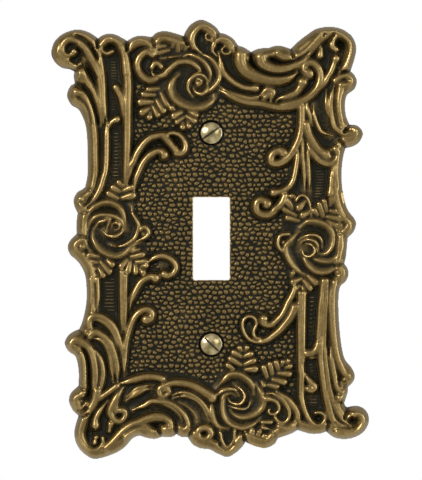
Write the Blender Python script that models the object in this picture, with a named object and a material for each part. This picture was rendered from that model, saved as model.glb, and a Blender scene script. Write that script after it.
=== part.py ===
"""A cast brass wall plate for one toggle switch, with its two slotted oval-head screws.

Metres, +Z up. The wall is the plane y = 0 and the plate's front faces -Y. The origin is on the
wall, midway between the two screw holes. Sizes below are in millimetres.
"""

import math

import bmesh
import bpy
import numpy as np
from mathutils import Vector
from mathutils.geometry import delaunay_2d_cdt

MM = 0.001

# The device that the plate covers: hole spacing and toggle opening.
SCREW_SPACING = 60.325
SLOT_WIDTH = 10.5
SLOT_HEIGHT = 23.7
SLOT_CORNER = 0.6

# Depths in front of the wall.
PANEL_FRONT = 4.6
BORDER_GROUND = 5.0
RIM_LIP = 1.2
RIM_CREST = 6.3
CAVITY_FLOOR = 2.8
BOSS_FLOOR = 1.4

# Widths, measured inward from the outline.
RIM_ROUND = 2.6
RIM_FALL = 1.5
WALL_SEAT = 1.9
WALL_DRAFT = 0.5

# Screw holes and screws, number 6 with 32 threads to the inch.
BOSS_RADIUS = 5.2
SINK_RADIUS = 3.65
HOLE_RADIUS = 2.0
SINK_DEPTH = 1.9
HEAD_RADIUS = 3.1
HEAD_EDGE = 0.15
HEAD_DOME = 0.95
HEAD_FRONT = 4.5
HEAD_SLOPE = math.radians(41)
SHANK_RADIUS = 1.75
ROOT_RADIUS = 1.38
PLAIN_SHANK = 1.4
TIP_RADIUS = 1.13
TIP_PLAIN = 0.4
THREAD_PITCH = 25.4 / 32
SCREW_LENGTH = 12.7
DRIVER_SLOT_WIDTH = 0.6
DRIVER_SLOT_DEPTH = 0.72
UPPER_SLOT_ANGLE = 35
LOWER_SLOT_ANGLE = -43

# Steps round the holes and the screws, and spacings of the points that the faces are drawn with.
HOLE_STEPS = 32
SCREW_STEPS = 20
BOSS_STEPS = 24
SINK_GUARD_STEPS = 16
OUTLINE_STEP = 1.7
CREST_STEP = 1.8
PANEL_STEP = 2.5
FILL_STEP = 4.5
FRONT_SPACING = 0.7
BACK_SPACING = 0.45

HOLE_CENTRES = ((0, SCREW_SPACING / 2), (0, -SCREW_SPACING / 2))

# The outline, clockwise as seen from the front, as scallops that meet in sharp notches. Each row
# starts at a notch, and its scallop runs as a smooth curve to the first point of the next row.
SCALLOPS = (
    ((-38.6, 1.4), (-38.7, 3.2), (-38.5, 6.5)),
    ((-38.3, 7.2), (-39.2, 9.2), (-39.5, 11.1), (-38.5, 13.2), (-36.9, 14.2)),
    ((-36.2, 14.8), (-35.5, 18.5), (-35.5, 23.6), (-35.6, 28.5), (-36.2, 33), (-38, 36.9),
     (-40.2, 38.4), (-41.4, 41), (-40.6, 43.4)),
    ((-39.15, 44.6), (-39.45, 46.3)),
    ((-39.3, 47.9), (-40.6, 48.6), (-43, 49.1), (-45, 50.8), (-45.9, 53.2), (-45, 56.4),
     (-42.8, 58.5), (-40, 59.7), (-37.6, 59.9), (-35.2, 59.2), (-33.4, 58.1)),
    ((-32.5, 57.4), (-31.2, 58.3), (-29.2, 58.8), (-27, 58.3)),
    ((-24.1, 56.7), (-22.4, 57.7), (-20.5, 58.2), (-18.4, 58)),
    ((-17.1, 57.8), (-15.6, 59.1), (-13.3, 59.5), (-10.8, 59)),
    ((-8, 58.1), (-7, 60.1), (-5.1, 62), (-2.8, 62.7), (-0.5, 61.9), (1.4, 60.5)),
    ((2.5, 59), (4.4, 58.5), (6.3, 57.2)),
    ((7.7, 55.3), (9.2, 54.9)),
    ((11.4, 53.5), (12.7, 54.2), (14.5, 54.6)),
    ((16.3, 54.6), (18, 55.2), (20.2, 55.2)),
    ((22.7, 54.4), (25, 56.6), (27.5, 58.5), (30, 60.1), (33.2, 60.7), (36.3, 60.4),
     (38.7, 59.3), (40.6, 57.5), (41.5, 55), (41.2, 52.2)),
    ((39.9, 48), (41.1, 46.7), (41.7, 45), (41, 42.9), (38.9, 41.2), (38.3, 38.5), (38.6, 35.2)),
    ((39.6, 32.7), (41.5, 32.5), (43, 31.3), (43.4, 29.7), (42.3, 27.6), (40.6, 26.5)),
    ((38.5, 26), (37.9, 24), (37.4, 20.5), (37.4, 15.8), (38, 11.5), (39.2, 8.1), (40.9, 5.9),
     (41.5, 4.2), (40.7, 1.9)),
    ((39.1, 0.3), (38.85, -2.2), (38.6, -5)),
    ((38.1, -7.2), (39.1, -8.7), (39.2, -10.7), (38.4, -12.4), (36.9, -13.8), (36.4, -17.5),
     (36.5, -22), (36.8, -26.5), (37.4, -31.3), (38.3, -34.6), (40.2, -37), (41.1, -39.2),
     (40.6, -41)),
    ((39.1, -42.5), (39.1, -43.9)),
    ((38.1, -47.1), (38.3, -47.8)),
    ((38.9, -48.4), (41.6, -48), (43.8, -48.8), (45, -50.6), (45, -53), (43.4, -55.5),
     (40.8, -57), (37.8, -57.45), (35, -56.9)),
    ((32.9, -55.3), (30.9, -55.9), (28.2, -55.9)),
    ((24.7, -54.85), (22.8, -55.9)),
    ((19.1, -57.2), (18.1, -58.8), (15.8, -59.9), (12.8, -59.4)),
    ((9.8, -58.25), (8.7, -59.8), (6.8, -61.5), (4.6, -62.6), (2, -61.7)),
    ((-0.5, -60.4), (-3.4, -60), (-5.4, -58.9)),
    ((-6.8, -56.9), (-8.6, -56.8)),
    ((-10, -56.05), (-11.3, -56.8)),
    ((-14.15, -56.8), (-16.2, -57.4), (-18.6, -57.1), (-20.7, -56.5), (-22.7, -57.4),
     (-25, -59.9), (-28.3, -61.8), (-33.2, -63.1), (-36.2, -61.8), (-38.5, -59.2),
     (-39.3, -56), (-38.9, -53.3)),
    ((-38.1, -50.8), (-39.8, -49), (-40.8, -46.6), (-40.3, -44.3)),
    ((-38.1, -42.2), (-38, -38.5), (-38.5, -35)),
    ((-39.1, -33.5), (-41, -32.2), (-42.05, -30), (-41.1, -27.8), (-39.3, -26.5)),
    ((-37.9, -26), (-36.9, -23.4), (-36, -19.4), (-35.75, -15.5), (-36.2, -10.5), (-38, -6.9),
     (-40.4, -4.6), (-41.2, -2.4), (-40.4, -0.4)),
)

# The sunken middle of the plate, inside the moulded border.
PANEL = (
    (-22.6, 12), (-21.4, 2), (-19, -2.5), (-18.6, -8), (-22.6, -13), (-23.2, -25), (-23.9, -39.2),
    (-17, -38.2), (-8, -38.9), (0.4, -41.6), (4.5, -37.8), (13.5, -40), (19, -43.2), (23.8, -44),
    (24.4, -30), (23.7, -18), (21, -6), (20.6, 3), (21.6, 12.4), (22.8, 22), (24.4, 31),
    (24.2, 37), (18.5, 36.6), (9.5, 37.8), (2.2, 40.5), (-1.5, 36.8), (-12.5, 37), (-18, 44),
    (-22.3, 46), (-22.6, 30),
)

# Raised ribs of the scrollwork: half width, depth of the crest in front of the wall, and the
# points that the crest runs through, by region.
UPPER_LEFT_RIBS = (
    (1.2, 7.6, ((-40.2, 53.1), (-42.2, 52.9), (-43, 54.6), (-41.8, 56.4), (-39.4, 56.9),
                (-36.6, 55.8), (-34.2, 53.3), (-32.5, 49.8), (-31.4, 45), (-30.9, 39),
                (-30.2, 31), (-29.9, 23), (-30.6, 18))),
    (0.7, 7, ((-39.4, 58.2), (-36.4, 57.8), (-33.8, 56), (-32.2, 53), (-31, 49.5))),
    (1, 7.2, ((-37.2, 47), (-35.3, 45.2), (-33.5, 42), (-32.3, 38), (-31.5, 33))),
    (1.1, 7, ((-38.8, 41.2), (-36.4, 40.2), (-34.6, 36.5), (-33.7, 31), (-33.5, 24),
              (-33.6, 17), (-34.6, 13.6))),
    (1.1, 7.4, ((-28.6, 53.1), (-30.4, 52.8), (-31.1, 54.6), (-29.6, 56.4), (-27.2, 56.2),
                (-25.2, 54), (-24.2, 50.5), (-24, 44), (-24.1, 36), (-24.2, 26), (-24.8, 18.5))),
    (0.8, 6.8, ((-27.6, 43.4), (-26.1, 41.4), (-25, 38))),
    (0.8, 6.9, ((-23, 53.9), (-21.7, 56.3), (-19.6, 56.5), (-17.4, 54.9))),
    (0.8, 6.8, ((-17.3, 52.4), (-19.6, 52.3), (-20.9, 49.6), (-19.8, 46.7), (-17.2, 45.3))),
    (0.9, 7.2, ((-14.9, 49.2), (-16.6, 49.4), (-16.8, 47.4), (-15, 46.4), (-12.6, 47.4),
                (-10.4, 49.8), (-7.4, 50.6), (-4.6, 49.6), (-2.6, 46.8))),
    (0.9, 7, ((-15.6, 54.2), (-12.6, 55.6), (-9.2, 55.2), (-7, 54))),
    (1.1, 7.4, ((-3.4, 53.2), (-5.2, 55.6), (-4.8, 58.6), (-2.6, 60.4), (0, 59.9), (0.7, 58),
                (-0.8, 57.2))),
)
UPPER_RIGHT_RIBS = (
    (1, 7.4, ((1.2, 54.4), (2.2, 56.6), (4.6, 56.8), (5.8, 54.8), (4.6, 53.2), (3.4, 54))),
    (0.9, 7.2, ((2, 53.4), (2.6, 50), (4, 46.8), (7, 44.2), (10, 43), (12.4, 42.9))),
    (1.1, 6.9, ((2.4, 42.9), (6, 40.9), (10.5, 39.4), (15.5, 38.5), (20, 37.9))),
    (1.5, 7.2, ((9, 52), (9.2, 49.2), (11.6, 46.8), (15, 45.7), (19, 45.4), (23, 47))),
    (1.4, 7.2, ((14.4, 51.2), (16.6, 48.8), (20.2, 48.9), (24.2, 51), (28.4, 55), (32.4, 58.2),
                (36.2, 58.9), (39.2, 57), (39.8, 53.2), (38.4, 49.4), (36.4, 46.8))),
    (1, 6.9, ((18.6, 52.8), (21.6, 52.4), (25, 52.9))),
    (1.1, 7.4, ((27, 48.4), (28.4, 50), (30.2, 48.6), (30.6, 45), (28.4, 41.2), (24.8, 39),
                (20.4, 38))),
    (0.8, 6.9, ((25.7, 44.4), (24.6, 42.1), (21.6, 40.4), (18.8, 39.3))),
    (0.8, 6.8, ((13.4, 40.6), (15.9, 42.6), (17.5, 41.6), (17, 38.9))),
    (0.9, 7, ((35.4, 50.9), (34, 47.2), (32.2, 43.8), (29.4, 40.8))),
    (1, 7.2, ((39.6, 45.6), (36.2, 45.5), (33, 44.2), (33, 38.8), (34.2, 33.8), (36.6, 30.6),
              (39.6, 29.8), (41, 31))),
    (1, 6.8, ((36.8, 42.6), (36.8, 37), (38.2, 32.6))),
    (0.9, 7, ((29, 38.4), (29.4, 34.2), (31, 31), (34.2, 29.3))),
    (1.1, 7, ((25.8, 37), (25.6, 31.4), (24.6, 27.4), (22.6, 23.8), (19.8, 21.7), (17.4, 22),
              (17.6, 24.2), (19.6, 24.7), (21, 24.2))),
    (1.1, 7.1, ((26.6, 31.4), (28, 27.4), (30.6, 24.2), (33.6, 22.6), (35.6, 23.2), (35.7, 25.2))),
    (1.1, 7, ((26.6, 27), (26.9, 20), (27.2, 13.6))),
    (0.9, 6.8, ((24.2, 22), (23.2, 16.8), (21, 14), (18, 13.1))),
    (0.9, 6.8, ((34.2, 20.4), (34, 13.2))),
)
LOWER_LEFT_RIBS = (
    (0.9, 6.9, ((-25.2, -11), (-25.3, -20), (-24.8, -27.2))),
    (1.2, 6.8, ((-33.2, -12.4), (-33.2, -20.2))),
    (1, 7.1, ((-34.7, -25.4), (-34.4, -22.8), (-32, -22.3), (-29, -24.4), (-27, -28), (-25.3, -33),
              (-24.8, -39.2))),
    (0.9, 7, ((-24.9, -32.4), (-23.8, -27), (-22.2, -22.8), (-19.8, -20.4), (-17.6, -20.8),
              (-17.5, -22.7), (-19.2, -22.9))),
    (1, 7, ((-34.2, -27.6), (-31.4, -28), (-29.2, -31), (-27.9, -35.4), (-27.5, -41))),
    (1.4, 7.2, ((-39.4, -29.2), (-36.4, -29.8), (-34, -33), (-32.8, -38), (-32.8, -44),
                (-34.6, -48.2), (-36.8, -52), (-37.4, -56), (-35.8, -59.4), (-33, -60),
                (-31.2, -58.6), (-31.6, -56.8))),
    (1, 6.8, ((-38.2, -31), (-36.4, -34.4), (-36.1, -39), (-36, -44.2))),
    (1, 7, ((-36.6, -45.2), (-38.4, -45), (-38.7, -47), (-36.8, -47.9))),
    (0.9, 7, ((-27.2, -42), (-30.4, -44.6), (-33.4, -46.9))),
    (0.9, 6.9, ((-30, -46.6), (-32.2, -49.8), (-33.1, -53))),
    (1.1, 7.3, ((-25.4, -42.4), (-27.6, -45.8), (-28.6, -49.2), (-26.8, -51.4), (-25, -50.6),
                (-25.1, -48.8))),
    (1, 7, ((-26.6, -41.4), (-22, -40.4), (-17.4, -39.5), (-14, -40.2))),
    (1, 7.1, ((-12.6, -43.4), (-13.6, -44.4), (-14.7, -43.2), (-13, -41.6), (-9.6, -41),
              (-5.6, -41.6), (-2, -43.2), (0.1, -45.4))),
    (0.8, 6.9, ((-10.8, -44.8), (-7.4, -44.4), (-4, -46), (-1.8, -48.8), (-0.2, -52.4))),
    (0.9, 6.9, ((-24.4, -46), (-21.2, -43.3), (-16.8, -42.2))),
    (1, 7, ((-22.4, -49), (-17, -47), (-12.6, -47.2), (-9.2, -50), (-7.5, -53.8))),
    (1, 7, ((-29.6, -59.2), (-26, -55.4), (-21.8, -52.5), (-17, -51), (-13.4, -51.6),
            (-12.6, -53.6))),
    (1, 6.9, ((-0.2, -54.8), (-2.4, -53.9), (-3.9, -55.4), (-2.2, -57.3), (0, -56.2))),
)
LOWER_RIGHT_RIBS = (
    (0.9, 7, ((2.4, -56), (3.2, -58.6), (5.4, -59), (6.5, -55.4))),
    (0.9, 7.2, ((15.8, -46), (18.2, -46.8), (18.9, -48.8), (17, -49.7), (16.5, -48.6))),
    (0.8, 6.9, ((15.6, -44), (19.6, -45), (22, -48.4), (21.6, -51.6), (18.6, -51.6))),
    (0.8, 6.8, ((18.8, -43.6), (22.6, -46.4), (24.5, -50.4), (23.2, -53.6), (19.6, -53.4))),
    (1.1, 7.1, ((25.4, -18), (25.6, -30), (25.8, -42), (26.8, -48.2), (28.8, -52), (31.6, -52.4),
                (31.8, -50.2), (29.8, -49.7))),
    (0.9, 6.9, ((26.9, -38), (28.6, -41.4), (28.4, -42.8))),
    (1.3, 7.1, ((32.2, -12.4), (31.4, -22), (31.2, -30), (32, -38), (33.4, -45.6), (36, -51.4),
                (39.6, -53.6), (42.4, -53), (43, -51), (41.4, -50.2))),
    (0.9, 6.8, ((33.9, -31), (34.9, -38), (36.2, -43), (37.6, -44.4), (36.8, -45.2))),
    (1.1, 7, ((35, -12.4), (35.1, -24), (35.8, -33), (37.8, -37.6), (39.8, -38.8))),
    (0.8, 6.6, ((27, -32.2), (29.6, -31.6))),
)
PANEL_RIBS = (
    (1.1, 7, ((-23.4, 18.4), (-22.2, 22), (-19.6, 26.4), (-15.6, 29.2), (-11, 29.6), (-8, 27.8),
              (-7.7, 25.4), (-9.4, 24.6), (-12.2, 28))),
    (0.9, 6.6, ((-21.8, 14), (-20.4, 20), (-17.6, 24), (-14.6, 24.8), (-13.4, 23.4))),
    (0.8, 6.4, ((-22.4, 11), (-22.2, 7), (-20.9, 3.6))),
    (0.9, 6.6, ((-18.4, -6.8), (-15, -5.3), (-11.8, -6), (-10.5, -8.4), (-12.6, -10.3),
                (-13.8, -9.6))),
    (0.9, 6.6, ((-22.4, -20), (-22, -16), (-20, -12.4), (-17.4, -11.1), (-15.9, -11.4))),
    (0.9, 6.5, ((20.8, 12), (19.2, 9), (16, 7.2), (13.3, 8), (13.4, 10.4), (15.6, 10))),
    (0.8, 6.4, ((22, 1.2), (19.3, 0.6), (19, -1.6), (20.2, -3.4))),
    (0.8, 6.5, ((23.4, -14), (21.4, -19.2), (18.4, -23.6), (15.6, -24.4), (15.1, -22.9))),
    (1.1, 6.8, ((23.4, -21.2), (19.6, -26.2), (14.6, -28.6), (10.8, -27.4), (9.2, -24.4),
                (10.8, -22.4), (12.5, -24), (12.6, -27))),
)
RIB_GROUPS = (
    UPPER_LEFT_RIBS, UPPER_RIGHT_RIBS, LOWER_LEFT_RIBS, LOWER_RIGHT_RIBS, PANEL_RIBS,
)

# Roses: centre, radius of the outermost petal, and the angle at which the spiral starts.
ROSES = (
    ((-4.2, 44.2), 7.2, 150),
    ((-28.2, 2.6), 7.6, 200),
    ((28.6, -3), 7.4, 160),
    ((7.2, -46.4), 7.8, 180),
)
ROSE_BUD = 0.4
ROSE_TURNS = 2.3
ROSE_CREST = 8.2
ROSE_EDGE = 7
ROSE_PETAL_HALF = 0.95

# Leaves: centre, direction that the tip points in, and length.
LEAVES = (
    ((-16.5, 39.5), 215, 8), ((-8, 35.2), 285, 6), ((-11.6, 55.6), 90, 6), ((-25.6, 14), 60, 6.5),
    ((-32, -8), 235, 7), ((-22.6, -6.6), 305, 7), ((25, 8.8), 120, 7), ((33.2, 8.4), 75, 7.5),
    ((26, -13.4), 250, 6.5), ((8.6, -34.6), 95, 6.5), ((19, -38.4), 40, 8), ((13.6, -56.2), 290, 6),
)
LEAF_CREST = 6.4
LEAF_HALF = 2

# How far a rib may stand out over the rim, the width of the step down to the panel, and the angle
# from which an edge is left sharp.
RIB_OVER_RIM = 1.2
PANEL_BLEND = 0.8
SHARP_ANGLE = math.radians(50)


def smooth_path(points, step, closed=False):
    """Points about one step apart on a Catmull-Rom curve through the given ones."""
    given = np.array(points, float)
    if closed:
        padded = np.vstack((given[-1:], given, given[:2]))
    else:
        first = 2 * given[0] - given[1]
        last = 2 * given[-1] - given[-2]
        padded = np.vstack((first, given, last))
    made = []
    for p0, p1, p2, p3 in zip(padded, padded[1:], padded[2:], padded[3:]):
        count = max(1, round(np.linalg.norm(p2 - p1) / step))
        for t in np.arange(count) / count:
            made.append(
                0.5 * (2 * p1 + (p2 - p0) * t + (2 * p0 - 5 * p1 + 4 * p2 - p3) * t ** 2
                       + (3 * p1 - p0 - 3 * p2 + p3) * t ** 3)
            )
    if not closed:
        made.append(given[-1])
    return np.array(made)


def outline_loop():
    """The scalloped outline, each scallop smooth and each notch sharp."""
    loop = []
    for row, following in zip(SCALLOPS, SCALLOPS[1:] + SCALLOPS[:1]):
        loop.extend(smooth_path(row + following[:1], OUTLINE_STEP)[:-1])
    return np.array(loop)


def slot_loop():
    """The toggle opening, a rectangle with small round corners."""
    loop = []
    half_width = SLOT_WIDTH / 2 - SLOT_CORNER
    half_height = SLOT_HEIGHT / 2 - SLOT_CORNER
    for quarter, (sx, sz) in enumerate(((1, 1), (-1, 1), (-1, -1), (1, -1))):
        for step in range(4):
            angle = math.radians(90 * quarter + 30 * step)
            loop.append((sx * half_width + SLOT_CORNER * math.cos(angle),
                         sz * half_height + SLOT_CORNER * math.sin(angle)))
    return np.array(loop)


def circle(centre, radius, steps=HOLE_STEPS):
    """Points round a circle."""
    angles = 2 * math.pi * np.arange(steps) / steps
    return np.array(centre) + radius * np.column_stack((np.cos(angles), np.sin(angles)))


def segments(path, closed):
    """The starts and the ends of a path's straight pieces."""
    ends = np.roll(path, -1, axis=0) if closed else path[1:]
    return path[:len(ends)], ends


def distance_to(points, path, closed=False):
    """Each point's distance to the nearest place on a path."""
    starts, ends = segments(path, closed)
    nearest = np.full(len(points), np.inf)
    for start, end in zip(starts, ends):
        along = end - start
        t = np.clip(((points - start) @ along) / max(along @ along, 1e-12), 0, 1)
        nearest = np.minimum(nearest, np.linalg.norm(points - start - t[:, None] * along, axis=1))
    return nearest


def inside(points, loop):
    """Which points lie inside a closed loop, by counting the edges to their right."""
    found = np.zeros(len(points), bool)
    for (x1, z1), (x2, z2) in zip(loop, np.roll(loop, -1, axis=0)):
        crosses = (z1 > points[:, 1]) != (z2 > points[:, 1])
        at = x1 + (points[:, 1] - z1) * (x2 - x1) / (z2 - z1 if z2 != z1 else 1)
        found ^= crosses & (points[:, 0] < at)
    return found


def side_lines(path, width):
    """The two lines that run beside a path, at a distance to its left and its right."""
    along = np.gradient(path, axis=0)
    along /= np.linalg.norm(along, axis=1)[:, None]
    normal = np.column_stack((-along[:, 1], along[:, 0]))
    return path + width * normal, path - width * normal


def rose_spiral(centre, radius, start):
    """The crest of a rose's petals: a spiral from its bud out to its edge."""
    angles = np.linspace(0, 2 * math.pi * ROSE_TURNS, 40)
    reach = ROSE_BUD + (radius - ROSE_BUD) * angles / angles[-1]
    turned = angles + math.radians(start)
    return np.array(centre) + reach[:, None] * np.column_stack((np.cos(turned), np.sin(turned)))


def leaf_line(centre, direction, length):
    """The middle of a leaf, from its root to near its tip."""
    heading = math.radians(direction)
    reach = np.linspace(-0.3, 0.3, 4)[:, None] * length
    return np.array(centre) + reach * (math.cos(heading), math.sin(heading))


def all_ribs():
    """Every raised line of the relief, as its half width, its crest depths and its path."""
    ribs = []
    for group in RIB_GROUPS:
        for half, crest, points in group:
            path = smooth_path(points, CREST_STEP)
            ribs.append((half, np.full(len(path), crest), path))
    for centre, radius, start in ROSES:
        path = rose_spiral(centre, radius, start)
        ribs.append((ROSE_PETAL_HALF, np.linspace(ROSE_CREST, ROSE_EDGE, len(path)), path))
    for leaf in LEAVES:
        path = leaf_line(*leaf)
        ribs.append((LEAF_HALF, np.full(len(path), LEAF_CREST), path))
    return ribs


def front_depth(points, outline, panel, ribs):
    """The relief: how far in front of the wall the plate's face is at each point."""
    edge = distance_to(points, outline, closed=True)
    to_panel = distance_to(points, panel, closed=True)
    share = np.where(inside(points, panel), np.clip(to_panel / PANEL_BLEND, 0, 1), 0)
    ground = BORDER_GROUND + (PANEL_FRONT - BORDER_GROUND) * share
    rise = np.clip(edge / RIM_ROUND, 0, 1)
    rim = RIM_LIP + (RIM_CREST - RIM_LIP) * np.sqrt(1 - (1 - rise) ** 2)
    fall = np.clip((edge - RIM_ROUND) / RIM_FALL, 0, 1)
    depth = rim + (ground - RIM_CREST) * fall * fall * (3 - 2 * fall)
    for half, crests, path in ribs:
        for start, end, first, second in zip(path, path[1:], crests, crests[1:]):
            along = end - start
            t = np.clip(((points - start) @ along) / (along @ along), 0, 1)
            off = np.linalg.norm(points - start - t[:, None] * along, axis=1) / half
            crest = first + (second - first) * t
            round_top = ground + (crest - ground) * np.sqrt(np.clip(1 - off ** 2, 0, 1))
            raised = np.maximum(depth, np.minimum(round_top, rim + RIB_OVER_RIM))
            depth = np.where(off < 1, raised, depth)
    return depth


def back_depth(points, outline):
    """The hollow back: a flat seat along the edge, a drafted wall, a floor and two bosses."""
    edge = distance_to(points, outline, closed=True)
    depth = CAVITY_FLOOR * np.clip((edge - WALL_SEAT) / WALL_DRAFT, 0, 1)
    for centre in HOLE_CENTRES:
        reach = np.linalg.norm(points - centre, axis=1)
        boss = np.where(reach < BOSS_RADIUS, BOSS_FLOOR, CAVITY_FLOOR)
        depth = np.minimum(depth, boss)
    return depth


def thinned(fixed, candidates, spacing):
    """The candidates that keep their distance from the fixed points and from each other."""
    kept = [tuple(point) for point in fixed]
    cells = {}
    for index, point in enumerate(kept):
        cells.setdefault((int(point[0] // spacing), int(point[1] // spacing)), []).append(index)
    chosen = []
    for point in candidates:
        column, row = int(point[0] // spacing), int(point[1] // spacing)
        near = [kept[i] for dx in (-1, 0, 1) for dz in (-1, 0, 1)
                for i in cells.get((column + dx, row + dz), ())]
        if all(math.dist(point, other) >= spacing for other in near):
            cells.setdefault((column, row), []).append(len(kept))
            kept.append(tuple(point))
            chosen.append(tuple(point))
    return np.array(chosen)


def sheet(loops, candidates, spacing):
    """A triangulated sheet inside the first loop and outside the others: points, triangles."""
    rims = np.vstack(loops)
    outer, *holes = loops
    keep = inside(candidates, outer) & (distance_to(candidates, outer, closed=True) > 0.2)
    for hole in holes:
        keep &= ~inside(candidates, hole)
    points = np.vstack((rims, thinned(rims, candidates[keep], spacing)))
    edges = []
    first = 0
    for loop in loops:
        edges += [(first + i, first + (i + 1) % len(loop)) for i in range(len(loop))]
        first += len(loop)
    made, _, faces, *_ = delaunay_2d_cdt([Vector(p) for p in points.tolist()], edges, [], 0, 1e-6)
    points = np.array([tuple(p) for p in made])
    faces = np.array([tuple(face) for face in faces])
    middles = points[faces].mean(axis=1)
    wanted = inside(middles, outer)
    for hole in holes:
        wanted &= ~inside(middles, hole)
    return points, faces[wanted]


def front_candidates(outline, ribs):
    """Places where the front needs a vertex: crests, the feet of ribs, the rim and a loose fill."""
    rows = []
    for half, _, path in ribs:
        left, right = side_lines(path, half)
        rows += [path, left, right]
    for inset in (0.3 * RIM_ROUND, 0.6 * RIM_ROUND, RIM_ROUND, RIM_ROUND + RIM_FALL):
        for line in side_lines(outline, inset):
            rows.append(line[distance_to(line, outline, closed=True) > 0.9 * inset])
    for centre in HOLE_CENTRES:
        rows.append(circle(centre, SINK_RADIUS + 1.2, SINK_GUARD_STEPS))
    rows.append(smooth_path(PANEL, PANEL_STEP, closed=True))
    rows.append(fill_grid(FILL_STEP))
    return np.vstack(rows)


def back_candidates(outline):
    """Places where the back needs a vertex: both edges of its wall, the bosses and a loose fill."""
    rows = []
    for inset in (WALL_SEAT, WALL_SEAT + WALL_DRAFT):
        for line in side_lines(outline, inset):
            rows.append(line[distance_to(line, outline, closed=True) > 0.97 * inset])
    for centre in HOLE_CENTRES:
        for radius in (BOSS_RADIUS - 0.1, BOSS_RADIUS + 0.3):
            rows.append(circle(centre, radius, BOSS_STEPS))
    rows.append(fill_grid(2 * FILL_STEP))
    return np.vstack(rows)


def fill_grid(step):
    """A square grid of points over the whole plate."""
    across, up = np.meshgrid(np.arange(-45, 46, step), np.arange(-62, 63, step))
    return np.column_stack((across.ravel(), up.ravel()))


def wall_between(first, second, count, faces):
    """Quads that join two loops of the same count, named by the index of each loop's start."""
    for i in range(count):
        j = (i + 1) % count
        faces.append((first + i, first + j, second + j, second + i))


def add_object(name, vertices, faces, material, origin=(0, 0, 0)):
    """A mesh object whose vertices are given in millimetres in world space."""
    mesh = bpy.data.meshes.new(name)
    local = (np.array(vertices, float) - origin) * MM
    mesh.from_pydata(local.tolist(), [], [tuple(map(int, face)) for face in faces])
    mesh.materials.append(material)
    mesh.validate()
    obj = bpy.data.objects.new(name, mesh)
    obj.location = Vector(origin) * MM
    bpy.context.scene.collection.objects.link(obj)
    return obj


def in_space(flat, depth):
    """Points of a sheet with their depth, as x, y and z."""
    return np.column_stack((flat[:, 0], -np.broadcast_to(depth, len(flat)), flat[:, 1]))


def make_plate(material):
    """The plate as one closed body: front and back sheets, the edge, and the openings' walls."""
    outline = outline_loop()
    panel = smooth_path(PANEL, PANEL_STEP, closed=True)
    ribs = all_ribs()
    front_loops = [outline, slot_loop()] + [circle(centre, SINK_RADIUS) for centre in HOLE_CENTRES]
    back_loops = front_loops[:2] + [circle(centre, HOLE_RADIUS) for centre in HOLE_CENTRES]
    starts = np.cumsum([0] + [len(loop) for loop in front_loops])
    slot_start, sinks_start, loops_end = starts[1], starts[2], starts[-1]

    front, faces = sheet(front_loops, front_candidates(outline, ribs), FRONT_SPACING)
    depth = front_depth(front, outline, panel, ribs)
    depth[:slot_start] = RIM_LIP
    depth[slot_start:loops_end] = PANEL_FRONT
    back, back_faces = sheet(back_loops, back_candidates(outline), BACK_SPACING)
    rear_depth = back_depth(back, outline)
    rear_depth[slot_start:sinks_start] = CAVITY_FLOOR
    vertices = [in_space(front, depth), in_space(back, rear_depth)]
    back_start = len(front)
    all_faces = faces.tolist() + (back_faces[:, ::-1] + back_start).tolist()

    for start, loop in zip(starts, front_loops[:2]):
        wall_between(start, back_start + start, len(loop), all_faces)
    throat = back_start + len(back)
    for start, centre in zip(starts[2:], HOLE_CENTRES):
        vertices.append(in_space(circle(centre, HOLE_RADIUS), PANEL_FRONT - SINK_DEPTH))
        wall_between(start, throat, HOLE_STEPS, all_faces)
        wall_between(throat, back_start + start, HOLE_STEPS, all_faces)
        throat += HOLE_STEPS

    plate = add_object("plate", np.vstack(vertices), all_faces, material)
    face_outward(plate)
    plate.data.shade_smooth()
    plate.data.set_sharp_from_angle(angle=SHARP_ANGLE)


def face_outward(obj):
    """Turns every face to point out of the closed body."""
    edit = bmesh.new()
    edit.from_mesh(obj.data)
    bmesh.ops.recalc_face_normals(edit, faces=edit.faces)
    edit.to_mesh(obj.data)
    edit.free()


def screw_profile():
    """The screw's turned outline from the tip to the top of the dome: distance behind the head's
    front edge, and radius."""
    cone_end = HEAD_EDGE + (HEAD_RADIUS - SHANK_RADIUS) / math.tan(HEAD_SLOPE)
    thread_end = cone_end + PLAIN_SHANK
    turns = int((SCREW_LENGTH - TIP_PLAIN - thread_end) / THREAD_PITCH)
    rows = [(SCREW_LENGTH, TIP_RADIUS)]
    for turn in range(turns, 0, -1):
        at = thread_end + turn * THREAD_PITCH
        rows += [(at, ROOT_RADIUS), (at - 0.5 * THREAD_PITCH, SHANK_RADIUS)]
    rows += [(thread_end, ROOT_RADIUS), (thread_end - 0.3, SHANK_RADIUS)]
    rows += [(cone_end, SHANK_RADIUS), (HEAD_EDGE, HEAD_RADIUS), (0, HEAD_RADIUS)]
    bend = (HEAD_RADIUS ** 2 + HEAD_DOME ** 2) / (2 * HEAD_DOME)
    for share in (0.9, 0.75, 0.55, 0.3):
        radius = share * HEAD_RADIUS
        rows.append((bend - HEAD_DOME - math.sqrt(bend ** 2 - radius ** 2), radius))
    return rows


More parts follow.
